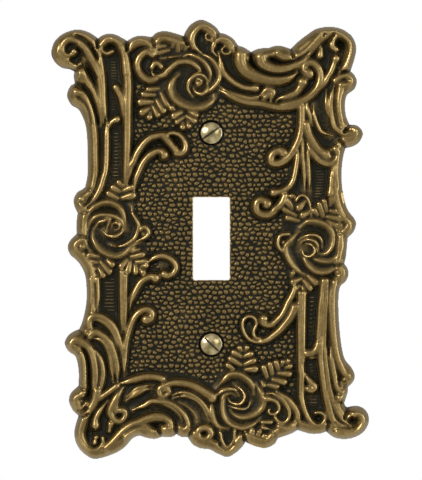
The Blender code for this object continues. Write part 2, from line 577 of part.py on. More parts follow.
def make_screw(name, hole_centre, slot_angle, material):
    """A screw about its own +Y axis, with its driver slot cut across the dome."""
    rows = screw_profile()
    across, up = hole_centre
    centre = np.array((across, -HEAD_FRONT, up))
    vertices = []
    faces = []
    for at, radius in rows:
        vertices += [centre + (x, at, z) for x, z in circle((0, 0), radius, SCREW_STEPS)]
    for row in range(len(rows) - 1):
        wall_between(SCREW_STEPS * row, SCREW_STEPS * (row + 1), SCREW_STEPS, faces)
    vertices += [centre + (0, SCREW_LENGTH, 0), centre - (0, HEAD_DOME, 0)]
    tip, crown, last = len(vertices) - 2, len(vertices) - 1, SCREW_STEPS * (len(rows) - 1)
    for i in range(SCREW_STEPS):
        j = (i + 1) % SCREW_STEPS
        faces.append((tip, j, i))
        faces.append((crown, last + i, last + j))
    screw = add_object(name, vertices, faces, material, centre)
    face_outward(screw)
    screw.data.shade_smooth()
    screw.data.set_sharp_from_angle(angle=SHARP_ANGLE)
    cut = screw.modifiers.new("driver slot", "BOOLEAN")
    cut.operation = "DIFFERENCE"
    cut.object = add_cutter(name + "_slot_cutter", centre, slot_angle)


def add_cutter(name, centre, slot_angle):
    """A long thin box across the head, turned to the slot's angle and left out of the part."""
    half_length = 2 * HEAD_RADIUS
    half_width = DRIVER_SLOT_WIDTH / 2
    bottom = DRIVER_SLOT_DEPTH - HEAD_DOME
    corners = [(x, y, z) for x in (-half_length, half_length) for y in (bottom - 3, bottom)
               for z in (-half_width, half_width)]
    faces = ((0, 1, 3, 2), (4, 6, 7, 5), (0, 4, 5, 1), (2, 3, 7, 6), (0, 2, 6, 4), (1, 5, 7, 3))
    cutter = add_object(name, np.array(corners) + centre, faces, metal("cutter", (1, 1, 1), 0.5, 0),
                        centre)
    cutter.rotation_euler = (0, -math.radians(slot_angle), 0)
    cutter.hide_render = True
    cutter.display_type = "WIRE"
    face_outward(cutter)
    return cutter


def metal(name, colour, roughness, metallic):
    """A plain material with a Principled BSDF."""
    material = bpy.data.materials.new(name)
    material.use_nodes = True
    shader = material.node_tree.nodes["Principled BSDF"]
    shader.inputs["Base Color"].default_value = (*colour, 1)
    shader.inputs["Roughness"].default_value = roughness
    shader.inputs["Metallic"].default_value = metallic
    return material


def clear_scene():
    for obj in list(bpy.data.objects):
        bpy.data.objects.remove(obj, do_unlink=True)


def main():
    clear_scene()
    make_plate(metal("antique_brass", (0.3, 0.2, 0.08), 0.35, 1))
    screw_brass = metal("polished_brass", (0.6, 0.48, 0.25), 0.22, 1)
    make_screw("upper_screw", HOLE_CENTRES[0], UPPER_SLOT_ANGLE, screw_brass)
    make_screw("lower_screw", HOLE_CENTRES[1], LOWER_SLOT_ANGLE, screw_brass)


main()
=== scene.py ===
"""The visual model of a cast antique-brass wall plate for one toggle switch, with its two screws.

Metres, +Z up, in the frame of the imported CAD: the wall is the plane y = 0 and the plate faces -Y. The
relief is worked out in millimetres, as a height in front of the wall on a fine grid.
"""
import math

import bpy
import numpy as np
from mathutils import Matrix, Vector
from mathutils.geometry import delaunay_2d_cdt


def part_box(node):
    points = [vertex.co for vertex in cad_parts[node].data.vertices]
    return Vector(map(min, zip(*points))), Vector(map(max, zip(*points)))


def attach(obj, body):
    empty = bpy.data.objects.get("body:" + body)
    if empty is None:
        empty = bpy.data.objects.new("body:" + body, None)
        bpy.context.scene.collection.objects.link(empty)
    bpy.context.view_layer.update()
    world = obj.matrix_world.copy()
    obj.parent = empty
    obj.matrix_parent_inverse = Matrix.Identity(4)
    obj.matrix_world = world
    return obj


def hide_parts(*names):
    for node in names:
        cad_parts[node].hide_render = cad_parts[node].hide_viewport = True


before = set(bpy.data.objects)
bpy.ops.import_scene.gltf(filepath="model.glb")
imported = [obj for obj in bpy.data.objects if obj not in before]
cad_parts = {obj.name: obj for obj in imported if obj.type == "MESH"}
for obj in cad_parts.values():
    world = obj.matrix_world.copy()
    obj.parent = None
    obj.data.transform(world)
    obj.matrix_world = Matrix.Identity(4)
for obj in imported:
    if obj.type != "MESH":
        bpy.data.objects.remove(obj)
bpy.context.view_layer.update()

MM = 0.001
STEP = 0.2

# Heights in front of the wall.
PANEL = 4.6
GROUND = 4.5
CHANNEL = 4.2
LIP = 1.3
RIM = 6.3
CAVITY_FLOOR = 2.8
BOSS_FLOOR = 1.4

# Widths measured inward from the outline.
RIM_ROUND = 2.4
RIM_FALL = 2.0
WALL_SEAT = 1.9
WALL_DRAFT = 0.5

SLOT_WIDTH = 10.5
SLOT_HEIGHT = 23.7
SLOT_CORNER = 0.5
SINK_RADIUS = 3.65
HOLE_RADIUS = 2.0
SINK_DEPTH = 1.9
BOSS_RADIUS = 5.2

# Screws, number 6 with 32 threads to the inch.
HEAD_RADIUS = 3.1
HEAD_EDGE = 0.15
HEAD_DOME = 0.95
HEAD_SLOPE = math.radians(41)
SHANK_RADIUS = 1.75
ROOT_RADIUS = 1.38
THREAD_PITCH = 25.4 / 32
SCREW_LENGTH = 12.7
DRIVER_SLOT_WIDTH = 0.6
DRIVER_SLOT_DEPTH = 0.72
UPPER_SLOT_ANGLE = 35
LOWER_SLOT_ANGLE = -43

# The outline, clockwise as seen from the front, as scallops that meet in sharp notches. Each row
# starts at a notch, and its scallop runs as a smooth curve to the first point of the next row.
SCALLOPS = (
    ((-38.6, 1.4), (-38.7, 3.2), (-38.5, 6.5)),
    ((-38.3, 7.2), (-39.2, 9.2), (-39.5, 11.1), (-38.5, 13.2), (-36.9, 14.2)),
    ((-36.2, 14.8), (-35.5, 18.5), (-35.5, 23.6), (-35.6, 28.5), (-36.2, 33), (-38, 36.9), (-40.2, 38.4),
        (-41.4, 41), (-40.6, 43.4)),
    ((-39.15, 44.6), (-39.45, 46.3)),
    ((-39.3, 47.9), (-40.6, 48.6), (-43, 49.1), (-45, 50.8), (-45.9, 53.2), (-45, 56.4), (-42.8, 58.5),
        (-40, 59.7), (-37.6, 59.9), (-35.2, 59.2), (-33.4, 58.1)),
    ((-32.5, 57.4), (-31.2, 58.3), (-29.2, 58.8), (-27, 58.3)),
    ((-24.1, 56.7), (-22.4, 57.7), (-20.5, 58.2), (-18.4, 58)),
    ((-17.1, 57.8), (-15.6, 59.1), (-13.3, 59.5), (-10.8, 59)),
    ((-8, 58.1), (-7, 60.1), (-5.1, 62), (-2.8, 62.7), (-0.5, 61.9), (1.4, 60.5)),
    ((2.5, 59), (4.4, 58.5), (6.3, 57.2)),
    ((7.7, 55.3), (9.2, 54.9)),
    ((11.4, 53.5), (12.7, 54.2), (14.5, 54.6)),
    ((16.3, 54.6), (18, 55.2), (20.2, 55.2)),
    ((22.7, 54.4), (25, 56.6), (27.5, 58.5), (30, 60.1), (33.2, 60.7), (36.3, 60.4), (38.7, 59.3),
        (40.6, 57.5), (41.5, 55), (41.2, 52.2)),
    ((39.9, 48), (41.1, 46.7), (41.7, 45), (41, 42.9), (38.9, 41.2), (38.3, 38.5), (38.6, 35.2)),
    ((39.6, 32.7), (41.5, 32.5), (43, 31.3), (43.4, 29.7), (42.3, 27.6), (40.6, 26.5)),
    ((38.5, 26), (37.9, 24), (37.4, 20.5), (37.4, 15.8), (38, 11.5), (39.2, 8.1), (40.9, 5.9), (41.5, 4.2),
        (40.7, 1.9)),
    ((39.1, 0.3), (38.85, -2.2), (38.6, -5)),
    ((38.1, -7.2), (39.1, -8.7), (39.2, -10.7), (38.4, -12.4), (36.9, -13.8), (36.4, -17.5), (36.5, -22),
        (36.8, -26.5), (37.4, -31.3), (38.3, -34.6), (40.2, -37), (41.1, -39.2), (40.6, -41)),
    ((39.1, -42.5), (39.1, -43.9)),
    ((38.1, -47.1), (38.3, -47.8)),
    ((38.9, -48.4), (41.6, -48), (43.8, -48.8), (45, -50.6), (45, -53), (43.4, -55.5), (40.8, -57),
        (37.8, -57.45), (35, -56.9)),
    ((32.9, -55.3), (30.9, -55.9), (28.2, -55.9)),
    ((24.7, -54.85), (22.8, -55.9)),
    ((19.1, -57.2), (18.1, -58.8), (15.8, -59.9), (12.8, -59.4)),
    ((9.8, -58.25), (8.7, -59.8), (6.8, -61.5), (4.6, -62.6), (2, -61.7)),
    ((-0.5, -60.4), (-3.4, -60), (-5.4, -58.9)),
    ((-6.8, -56.9), (-8.6, -56.8)),
    ((-10, -56.05), (-11.3, -56.8)),
    ((-14.15, -56.8), (-16.2, -57.4), (-18.6, -57.1), (-20.7, -56.5), (-22.7, -57.4), (-25, -59.9),
        (-28.3, -61.8), (-33.2, -63.1), (-36.2, -61.8), (-38.5, -59.2), (-39.3, -56), (-38.9, -53.3)),
    ((-38.1, -50.8), (-39.8, -49), (-40.8, -46.6), (-40.3, -44.3)),
    ((-38.1, -42.2), (-38, -38.5), (-38.5, -35)),
    ((-39.1, -33.5), (-41, -32.2), (-42.05, -30), (-41.1, -27.8), (-39.3, -26.5)),
    ((-37.9, -26), (-36.9, -23.4), (-36, -19.4), (-35.75, -15.5), (-36.2, -10.5), (-38, -6.9),
        (-40.4, -4.6), (-41.2, -2.4), (-40.4, -0.4)),
)

# The sunken middle of the plate, inside the moulded border.
PANEL_EDGE = (
    (-22.6, 12), (-21.4, 2), (-19, -2.5), (-18.6, -8), (-22.6, -13), (-23.2, -25), (-23.9, -39.2),
    (-17, -38.2), (-8, -38.9), (0.4, -41.6), (4.5, -37.8), (13.5, -40), (19, -43.2), (23.8, -44),
    (24.4, -30), (23.7, -18), (21, -6), (20.6, 3), (21.6, 12.4), (22.8, 22), (24.4, 31), (24.2, 37),
    (18.5, 36.6), (9.5, 37.8), (2.2, 40.5), (-1.5, 36.8), (-12.5, 37), (-18, 44), (-22.3, 46), (-22.6, 30),
)

# Ribs of the scrollwork: half width, how each end is shaped, and the points that the crest runs
# through. An end is "b" for a bulb, "t" for a taper and "r" for plain round. A pair of half widths
# holds for the first and the last point.
TOP_LEFT = (
    (0.7, "rt", ((-38.7, 58.6), (-36, 58), (-34, 56.5), (-32.7, 54), (-31.8, 51.5), (-31.2, 48),
        (-30.8, 44), (-30.5, 38), (-29.8, 33.5))),
    ((0.6, 1.2), "br", ((-39.1, 53.3), (-39.8, 52.3), (-41.3, 52.2), (-42.5, 53.4), (-42.4, 55.3),
        (-40.8, 56.8), (-38.6, 56.7), (-37, 55.5))),
    ((1.25, 1.1), "rt", ((-37.4, 55.8), (-35.8, 54.1), (-34.5, 51.9), (-33.1, 49.6), (-32.2, 47.2),
        (-31.6, 44.9), (-31.3, 41.4), (-31, 37), (-30.8, 33))),
    ((1.25, 0.7), "bt", ((-37.2, 47), (-35.5, 44.8), (-33.8, 42), (-32.6, 39), (-31.8, 35), (-31.5, 32))),
    ((1, 1.1), "bt", ((-38.5, 41.7), (-37.1, 41.4), (-35.9, 40.2), (-35, 38.3), (-34.3, 36.2),
        (-33.6, 33.5), (-33.3, 31))),
    ((0.45, 0.8), "br", ((-28.3, 53.5), (-29.7, 52.7), (-31.2, 53.6), (-31.4, 55), (-30, 56.8), (-28, 57),
        (-26, 56))),
    ((0.9, 1.4), "rr", ((-28.2, 56.9), (-26.6, 55.9), (-25.5, 54.3), (-24.8, 52.2), (-24.4, 49.8),
        (-24.1, 47))),
    ((1.3, 1), "rt", ((-24.4, 49.8), (-24.1, 47), (-23.9, 44), (-24, 38), (-24, 32), (-24.1, 25),
        (-24.3, 19), (-24.8, 15))),
    ((0.95, 1.3), "rt", ((-27.3, 43.1), (-26.6, 42), (-25.8, 40.4), (-25.2, 38.4), (-24.9, 36.2),
        (-24.6, 33))),
    (0.7, "tb", ((-29.4, 30), (-29.3, 31.5), (-28.7, 32.9), (-27.8, 33.6), (-26.9, 34))),
    (0.75, "rr", ((-23.4, 54), (-22.2, 56), (-21, 56.9), (-19.3, 56.5), (-17.6, 55.3), (-16.3, 53.5))),
    (0.95, "rr", ((-16.8, 52.5), (-18.5, 53.2), (-20.3, 52), (-21.2, 50), (-20.8, 47.8), (-19.3, 46),
        (-17.5, 45.2), (-16, 45.6))),
    (0.8, "tt", ((-29.8, 34), (-29.9, 28), (-30, 22), (-30.3, 19), (-30.9, 17), (-31.5, 15), (-32.4, 13),
        (-33.5, 11.2), (-34.6, 10), (-35.8, 9))),
    (0.55, "tt", ((-33, 20), (-33.2, 17), (-33.8, 14.5), (-35, 12), (-36, 10.2))),
    (0.7, "bt", ((-37.3, 11.3), (-36.2, 9.7))),
    (0.7, "rr", ((-17, 48.8), (-16.2, 50), (-15, 49.8), (-14.3, 49))),
    (0.8, "tt", ((-17, 48.5), (-16.8, 47), (-15.3, 46.2), (-13.5, 46.8), (-12.5, 47.8), (-11, 49.2),
        (-9.5, 50.2), (-7.5, 50.5), (-5.5, 50.1), (-4, 49), (-3, 47.5), (-2.3, 46))),
    (0.5, "tt", ((-14, 51.4), (-11, 51.8), (-9, 52))),
    ((1.1, 0.8), "tr", ((-3, 53), (-4, 53.8), (-5.2, 55), (-5.6, 56.5), (-5.3, 58), (-4.3, 59.5),
        (-3, 60.5), (-1.5, 60.6), (0, 60))),
    ((0.7, 0.3), "rr", ((-1.5, 60.6), (0, 60), (0.9, 58.9), (0.9, 57.6), (0, 56.6), (-1.2, 56.7),
        (-1.7, 57.8), (-1, 58.5))),
)
TOP_RIGHT = (
    ((1, 0.7), "tr", ((1.5, 52), (0.3, 53.5), (0.6, 55), (1.2, 56.2), (2.8, 57), (4.5, 56.8))),
    ((0.6, 0.3), "rr", ((2.8, 57), (4.5, 56.8), (5.9, 55.9), (6.2, 54.3), (5.3, 52.9), (3.7, 52.7),
        (2.9, 53.8), (3.8, 54.8))),
    (0.75, "tb", ((2, 53.3), (2.6, 50.5), (3.2, 48), (4.5, 46.2), (6.5, 44.5), (9, 43.2), (11.5, 42.8),
        (12.6, 42.9))),
    (0.6, "tr", ((2.3, 43.4), (5, 41.8), (8, 40.8), (11, 40.1), (13, 40.3))),
    (0.95, "tr", ((2.2, 42.4), (5, 41), (8, 39.6), (11, 38.8), (14, 38.5), (17.5, 37.7), (20, 37.4),
        (23, 37.7), (25.5, 38.4))),
    ((2, 1.4), "rt", ((8.3, 52.2), (8.4, 50), (9.9, 47.8), (12.6, 46.3), (15.8, 45.4), (19, 45.2),
        (22, 45.8), (24.5, 47.3))),
    ((1.8, 1.5), "rt", ((14, 51.6), (14.6, 49.9), (16.6, 48.6), (19.3, 48), (22.1, 48.6), (25, 50),
        (27.9, 52))),
    ((1.3, 1.6), "rr", ((19, 52.8), (20.8, 51.9), (23.3, 51.8), (25.6, 52.3), (28, 54), (30.1, 56.3),
        (32, 58.3))),
    (1.6, "rt", ((32.5, 58.6), (36, 59.3), (39, 57.3), (40.2, 55), (40, 52), (38.8, 49.5), (37.3, 47.8),
        (36.3, 46.8))),
    (0.9, "rr", ((35.5, 54), (34.4, 55), (34.8, 57), (36.3, 58), (38, 57.8), (39.4, 56.3))),
    ((1, 0.5), "rr", ((30.9, 52.2), (31.3, 54.4))),
    (1.1, "bt", ((27.8, 47), (26.6, 48), (26.7, 49.4), (28.3, 50.2), (29.8, 49.4), (30.8, 47.8), (31, 45.5),
        (30.2, 43), (28.5, 41), (26.5, 39.6), (23.5, 38.6), (20, 38), (17.5, 37.7))),
    (1.05, "bt", ((25.9, 44.6), (25.2, 43), (24, 41.5), (22, 40.6), (19.5, 40), (18.5, 39.2))),
    (0.85, "tt", ((13, 40), (14.3, 41.2), (15.4, 42.3), (16.6, 42.6), (17.6, 41.8), (17.3, 40.6),
        (16.9, 39.3), (17.5, 38.2))),
    (0.8, "rr", ((15.2, 40.2), (16.3, 41.1))),
    (0.8, "bt", ((35.5, 51.3), (34.8, 49.5), (34, 47.5), (33, 45.8), (32.5, 44.8), (31, 43), (30, 41.8),
        (28.8, 40))),
    (0.9, "rb", ((35.3, 45), (37, 46.2), (38.5, 46.5), (40, 45.5), (40, 44.5), (38.5, 43.8), (37, 43.7))),
    (0.75, "tt", ((27.2, 40), (27.3, 37.5), (28.3, 34), (29, 32))),
    (0.6, "tt", ((29, 38.5), (29.2, 36), (29.8, 33.5), (30.9, 31), (32, 30.1), (33.3, 29.7), (34.5, 29.4))),
    (0.75, "tt", ((32.8, 42.5), (32.7, 40), (32.9, 37), (33.5, 34))),
    (0.8, "tr", ((35.1, 44), (34.3, 41), (34, 38), (34.3, 35), (34.8, 32.5), (35.8, 31.2), (37.2, 30.2),
        (38.8, 29.7), (40.3, 29.9), (41, 30.6), (41, 31.6), (40, 32.1), (38.9, 31.8))),
    (1.2, "rt", ((37, 43.5), (36.5, 40), (36.5, 37), (36.9, 34), (38, 32.2))),
)
MIDDLE_RIGHT = (
    (1.05, "rb", ((25.7, 37.5), (25.7, 34), (25.5, 31), (24.9, 28.5), (24.3, 27), (23.5, 25.3),
        (22.5, 23.8), (21.3, 22.6), (20, 21.8), (18.5, 21.4), (17.3, 21.7), (16.9, 22.6), (17.2, 23.8),
        (18.2, 24.7), (19.6, 25), (20.6, 24.3))),
    (0.6, "tt", ((26.2, 31), (26, 24), (26.3, 20), (26.5, 16), (26.5, 13.5))),
    (0.6, "tt", ((27.4, 28), (27.5, 24), (27.7, 20), (27.9, 16), (28, 13.5))),
    (0.45, "rt", ((24.1, 10.9), (24.9, 12), (26, 12.4), (27.1, 11.8), (27.9, 10.3), (28.3, 8.3),
        (28.5, 6.3))),
    (0.75, "tb", ((24.9, 27), (24.3, 22), (24, 20), (23.6, 18), (23.2, 16.5), (22.3, 15), (21.2, 14.1),
        (20, 13.5), (18.5, 13.2), (17.7, 13.1))),
    ((1.2, 1.15), "rb", ((27, 32.5), (27.6, 30), (28.6, 28), (29.8, 26.3), (31.3, 24.8), (33, 23.9))),
    (0.95, "tb", ((27, 28), (27.8, 26), (29.2, 24), (31, 22.2), (33, 21.4), (34.6, 21.6), (35.7, 22.6),
        (36, 24), (35.4, 25.3))),
    (0.75, "tr", ((34.9, 33), (35.9, 31.8), (37.2, 30.9), (38.8, 30.2), (39.6, 30.2))),
    (0.9, "tt", ((36.3, 27), (36, 23), (35.9, 19), (36.2, 14))),
    (0.7, "tb", ((34.2, 20.5), (34.1, 16), (33.9, 12.8))),
    (1, "rb", ((20.9, 12.2), (20.2, 10.5), (19.3, 9.3), (18, 8.3), (17.5, 7.5), (16, 6.8), (14.5, 6.9),
        (13.2, 7.7), (12.7, 9), (13, 10.4), (14, 11), (15.2, 10.6), (15.9, 9.8))),
    (0.55, "rr", ((38.2, 5.9), (39.2, 4.8), (39.6, 3.2), (39.3, 1.8))),
    (0.55, "rr", ((22, 1.3), (20.5, 1.2), (19.5, 0.7), (19, -0.4), (18.9, -1.6), (19.4, -2.7),
        (20.3, -3.5))),
    (0.55, "rr", ((36, -8.2), (37.2, -8), (37.8, -9), (37.7, -10.3), (36.8, -11.2), (35.5, -11.5))),
    (0.85, "tb", ((23.8, -12), (23.6, -13.6), (23.4, -15), (22.8, -16.5), (21.9, -18), (21, -20),
        (20.1, -21.7), (19, -23), (18, -23.9), (17, -24.5), (15.8, -24.5), (14.8, -23.9), (14.9, -22.9))),
    ((1.35, 0.7), "rr", ((23.8, -19.5), (22.5, -22.3), (21, -24.3), (19.3, -26.2), (17.5, -27.7),
        (15.9, -28.8), (14.2, -29.3))),
    (0.5, "rr", ((15.4, -29.2), (14, -29.5), (12.5, -29.4), (11, -28.8), (9.9, -27.7), (9.2, -26.4),
        (8.8, -24.6), (9.1, -23.3), (9.9, -22.4), (11, -22.1), (12.1, -22.5), (12.8, -23.5), (12.7, -24.8),
        (12.1, -26.1), (12, -27.3), (12.7, -28.2), (14, -28.5))),
    (0.7, "rt", ((25.2, -15.5), (25.1, -22), (25.2, -30), (25.3, -38), (25.3, -42))),
    (0.7, "rt", ((26.3, -15.5), (26.2, -22), (26.1, -30), (26.1, -38))),
    (0.75, "rt", ((31.9, -12), (31.5, -16), (31, -20), (30.8, -24), (30.5, -28), (30.4, -33))),
    (0.75, "rr", ((32.8, -12), (32.6, -16), (32.3, -20), (32.1, -25), (31.9, -30))),
    (1, "rr", ((35, -12.5), (35.2, -18), (35.2, -24), (35.5, -30), (35.8, -33), (36.7, -36), (37.5, -37.6),
        (38.5, -38.8), (39.7, -39), (40.2, -38.2))),
)
LOWER_RIGHT = (
    ((1, 0.5), "tr", ((25.7, -34), (25.7, -38), (25.6, -44), (26, -47), (26.6, -49), (27.5, -51),
        (28.6, -52.4), (30, -53.2), (31.3, -53), (32.2, -52), (32.4, -50.8), (31.8, -49.9), (30.6, -49.5),
        (29.6, -49.7))),
    (1, "tr", ((26.6, -38), (27.3, -39.5), (28.3, -41), (29.2, -41.9), (29.3, -42.6), (28.6, -43.1),
        (27.6, -42.8))),
    (1.1, "rr", ((27.2, -32.7), (28.6, -32.6), (29.8, -31.7), (30.5, -29.9))),
    (0.5, "tt", ((27, -33.7), (28.5, -34.1), (30.3, -33.8))),
    (1.05, "tr", ((31.7, -26.5), (31.4, -30), (31.3, -34), (31.6, -37), (32, -40), (32.6, -44),
        (33.3, -47.5), (34, -50.2), (35, -52.4), (36.5, -53.7), (38.5, -54.4), (40.2, -54.8))),
    (0.75, "tt", ((32.3, -28), (32.4, -34), (32.9, -38), (33.5, -42), (34.4, -45.5), (35.3, -48),
        (36.3, -50), (37.6, -51.7), (39.2, -53), (40.2, -53.3))),
    (0.85, "tb", ((33.9, -31), (34.2, -34), (34.8, -37.5), (35.4, -40.5), (35.9, -42.5), (36.7, -43.6),
        (37.4, -43.7), (37.9, -44.5), (37.3, -45.5), (36.5, -45.3))),
    (1.3, "rr", ((36, -55), (39, -55.6), (41.6, -54.9), (43.2, -52.8), (43.1, -50.7), (41.9, -49.7),
        (40.6, -49.9))),
    (0.5, "rr", ((42, -50.9), (42.3, -51.6), (42, -52.6))),
    ((0.7, 0.35), "br", ((15.5, -45.6), (17, -45.8), (18.4, -46.4), (19.2, -47.6), (19.2, -49),
        (18.3, -49.9), (17, -50), (16.2, -49.3), (16.6, -48.6))),
    ((0.8, 0.5), "tr", ((15.8, -44.1), (17.5, -44.2), (19, -44.9), (20.3, -46), (21.5, -47.6),
        (22.2, -49.3), (22.1, -51), (21.2, -52.2), (20, -52.5), (18.7, -51.8), (18.2, -51))),
    (0.85, "tr", ((18.5, -43.5), (20, -44.4), (21.6, -45.6), (23, -47.2), (24.2, -49), (24.6, -50.8),
        (24.2, -52.6), (23, -53.8), (21, -54), (19.2, -53.5))),
    (0.5, "rr", ((2.4, -55.2), (2.7, -56), (2.9, -57.3), (3.6, -58.7), (4.6, -59.5), (5.7, -58.8),
        (6.3, -57.5), (6.5, -56), (6.6, -54.9))),
    (0.6, "rr", ((14.5, -52.3), (17, -52.3))),
    (0.6, "rt", ((14.6, -53.8), (16.8, -54.4))),
    (0.5, "rt", ((15.8, -56.2), (16.3, -57))),
)
LOWER_LEFT = (
    (0.7, "rt", ((-25.6, -9.5), (-25.6, -16), (-25.5, -22), (-25.4, -27))),
    (0.6, "rt", ((-24.4, -10.5), (-24.5, -17), (-24.6, -22), (-24.7, -28))),
    (0.7, "rt", ((-34.3, -11.5), (-34.2, -16), (-34.3, -20.5))),
    (0.7, "rt", ((-32.6, -11.5), (-32.4, -16), (-32.4, -21))),
    ((1, 0.7), "rt", ((-34.8, -25.5), (-34.9, -23.5), (-34.2, -22.3), (-33, -21.9), (-31.5, -22.2),
        (-30, -23), (-28.6, -24.2), (-27.4, -26), (-26.6, -28), (-26, -30), (-25.2, -32.5), (-24.9, -35),
        (-24.8, -39.5))),
    (0.7, "tt", ((-34.5, -24), (-33.5, -23.3), (-32, -23.3), (-30.5, -24), (-29, -25.3), (-27.9, -27),
        (-27.2, -29), (-26.7, -32))),
    ((0.6, 1), "tb", ((-24.8, -39.5), (-24.7, -35), (-24.5, -31), (-24, -28), (-23.3, -25.5), (-22.3, -23),
        (-21, -21.3), (-19.5, -20.4), (-18.2, -20.2), (-17.2, -20.8), (-17, -21.8), (-17.5, -22.8),
        (-18.6, -23))),
    ((1.1, 0.8), "rt", ((-34.7, -27.8), (-34, -27), (-33, -26.6), (-31.6, -27.3), (-30.2, -28.3),
        (-29, -29.7), (-28.2, -31.5), (-27.5, -33.5), (-27, -36), (-26.8, -38.5), (-26.7, -41))),
    (0.7, "tt", ((-34.2, -28.3), (-32, -28.8), (-30.5, -29.8), (-29.5, -31.5), (-28.8, -34), (-28.4, -37),
        (-28, -41))),
    ((1.45, 0.95), "rt", ((-40, -29.8), (-39, -28.9), (-37.5, -29.2), (-36, -30.2), (-34.7, -31.7),
        (-33.9, -34), (-33.3, -37), (-33.2, -40), (-33.4, -43), (-33.6, -45))),
    (0.75, "tt", ((-33.6, -31), (-32.2, -33), (-31.3, -35.4), (-30.9, -38.1), (-31.2, -40.9),
        (-31.9, -43.7), (-32.8, -45.6))),
    (0.9, "rt", ((-39.8, -30.4), (-38.5, -31), (-37.3, -32), (-36.6, -33.5), (-36.2, -35.5), (-36, -38),
        (-36, -44))),
    (0.55, "rr", ((-36.6, -44.8), (-37.8, -44.6), (-38.9, -45.4), (-39, -46.6), (-38.2, -48), (-37, -48.3),
        (-36, -47.5), (-35.6, -46.8))),
    ((1.3, 0.55), "rr", ((-32.6, -43.5), (-33.2, -46), (-34.2, -48), (-35.7, -50), (-36.9, -52.2),
        (-37.5, -54.5), (-37.4, -57), (-36.6, -58.8), (-35.2, -60), (-33.4, -60.4), (-31.8, -59.6),
        (-30.9, -58.2), (-31, -56.8))),
    (0.45, "bb", ((-32.9, -56.6), (-33.3, -58.2))),
    ((0.9, 0.7), "rt", ((-27, -42), (-29, -43.5), (-31, -44.9), (-33, -46.5), (-34.5, -48.3))),
    (0.8, "tb", ((-29.5, -46.1), (-31, -48), (-32.2, -49.7), (-33, -51.5), (-33.1, -53.3))),
    ((1.3, 0.65), "tb", ((-25.2, -42.5), (-26.3, -44), (-27.5, -46), (-28.5, -48), (-28.9, -49.5),
        (-28.2, -51), (-26.8, -52), (-25.4, -51.8), (-24.6, -50.5), (-24.8, -49.2), (-25.8, -48.9))),
    (0.7, "tr", ((-25.2, -43.5), (-26.4, -45.5), (-27.2, -47.5), (-27.2, -49.3))),
    (0.6, "br", ((-28.7, -52.8), (-29.1, -54.8))),
    (0.95, "tr", ((-26.8, -41.3), (-25, -41), (-23, -40.4), (-21, -39.9), (-19, -39.4), (-17, -39.3),
        (-15, -39.6), (-13.9, -40))),
    ((0.6, 1.3), "br", ((-12.8, -42.7), (-12.1, -43.6), (-12.8, -44.6), (-14, -44.9), (-14.9, -44),
        (-14.7, -42.6), (-13, -41.8), (-11.75, -41.3), (-9.7, -41), (-7.6, -41.2), (-5.5, -41.8),
        (-3.4, -42.8), (-1.3, -44.1), (-0.1, -44.9), (0.2, -45.5))),
    (0.6, "tt", ((-11.2, -44.8), (-9.8, -44.1), (-8, -43.8), (-6, -44.2), (-4.5, -45), (-3, -46.2),
        (-1.9, -47.6), (-0.9, -49.5), (0.1, -52))),
    (0.45, "tt", ((-11, -45.6), (-9.5, -45.1), (-7.5, -44.9), (-5.5, -45.5), (-4, -46.4), (-2.8, -47.6),
        (-2, -49), (-1.2, -50.8), (-0.5, -52.3))),
    (0.25, "tt", ((-9.5, -46.6), (-7.5, -47.5), (-5.8, -48.8), (-4.6, -50.5), (-4.2, -52.5))),
    (0.7, "tt", ((-24.4, -45.2), (-22.5, -43.6), (-21, -42.6), (-18, -41.8), (-16.5, -41.8))),
    (0.9, "tt", ((-24.5, -46.3), (-22.8, -45), (-21, -43.8), (-19, -43), (-17, -42.8))),
    (0.75, "tr", ((-22.7, -49), (-21, -48.2), (-19, -47.4), (-17, -46.3), (-14, -46.4), (-12, -46.8),
        (-10, -47.9), (-8.5, -49.3), (-7.4, -50.8), (-6.8, -52.3), (-6.7, -53.5), (-7.3, -54.2))),
    (0.4, "tt", ((-17, -47.2), (-14.5, -47.2), (-12.5, -47.8), (-11, -48.6), (-9.5, -50), (-8.5, -51.7),
        (-8.2, -53.2))),
    (1.3, "rb", ((-30, -59.7), (-28.3, -58.2), (-26.6, -56.4), (-25, -54.7), (-23, -53.3), (-20.7, -52.4),
        (-18, -51.3), (-16, -50.8), (-14.3, -50.9), (-12.8, -51.7), (-11.9, -52.9), (-11.9, -53.8),
        (-12.9, -54))),
    ((1.7, 1.2), "rr", ((-24.5, -56.2), (-22, -54.6), (-20, -53.9), (-18.4, -54.2), (-17.2, -55))),
    (0.95, "rr", ((-0.2, -55.3), (-0.8, -54.2), (-2.2, -53.9), (-3.6, -54.5), (-3.9, -55.8), (-3.2, -56.9),
        (-2, -57.2), (-0.8, -56.8), (-0.2, -55.8))),
)
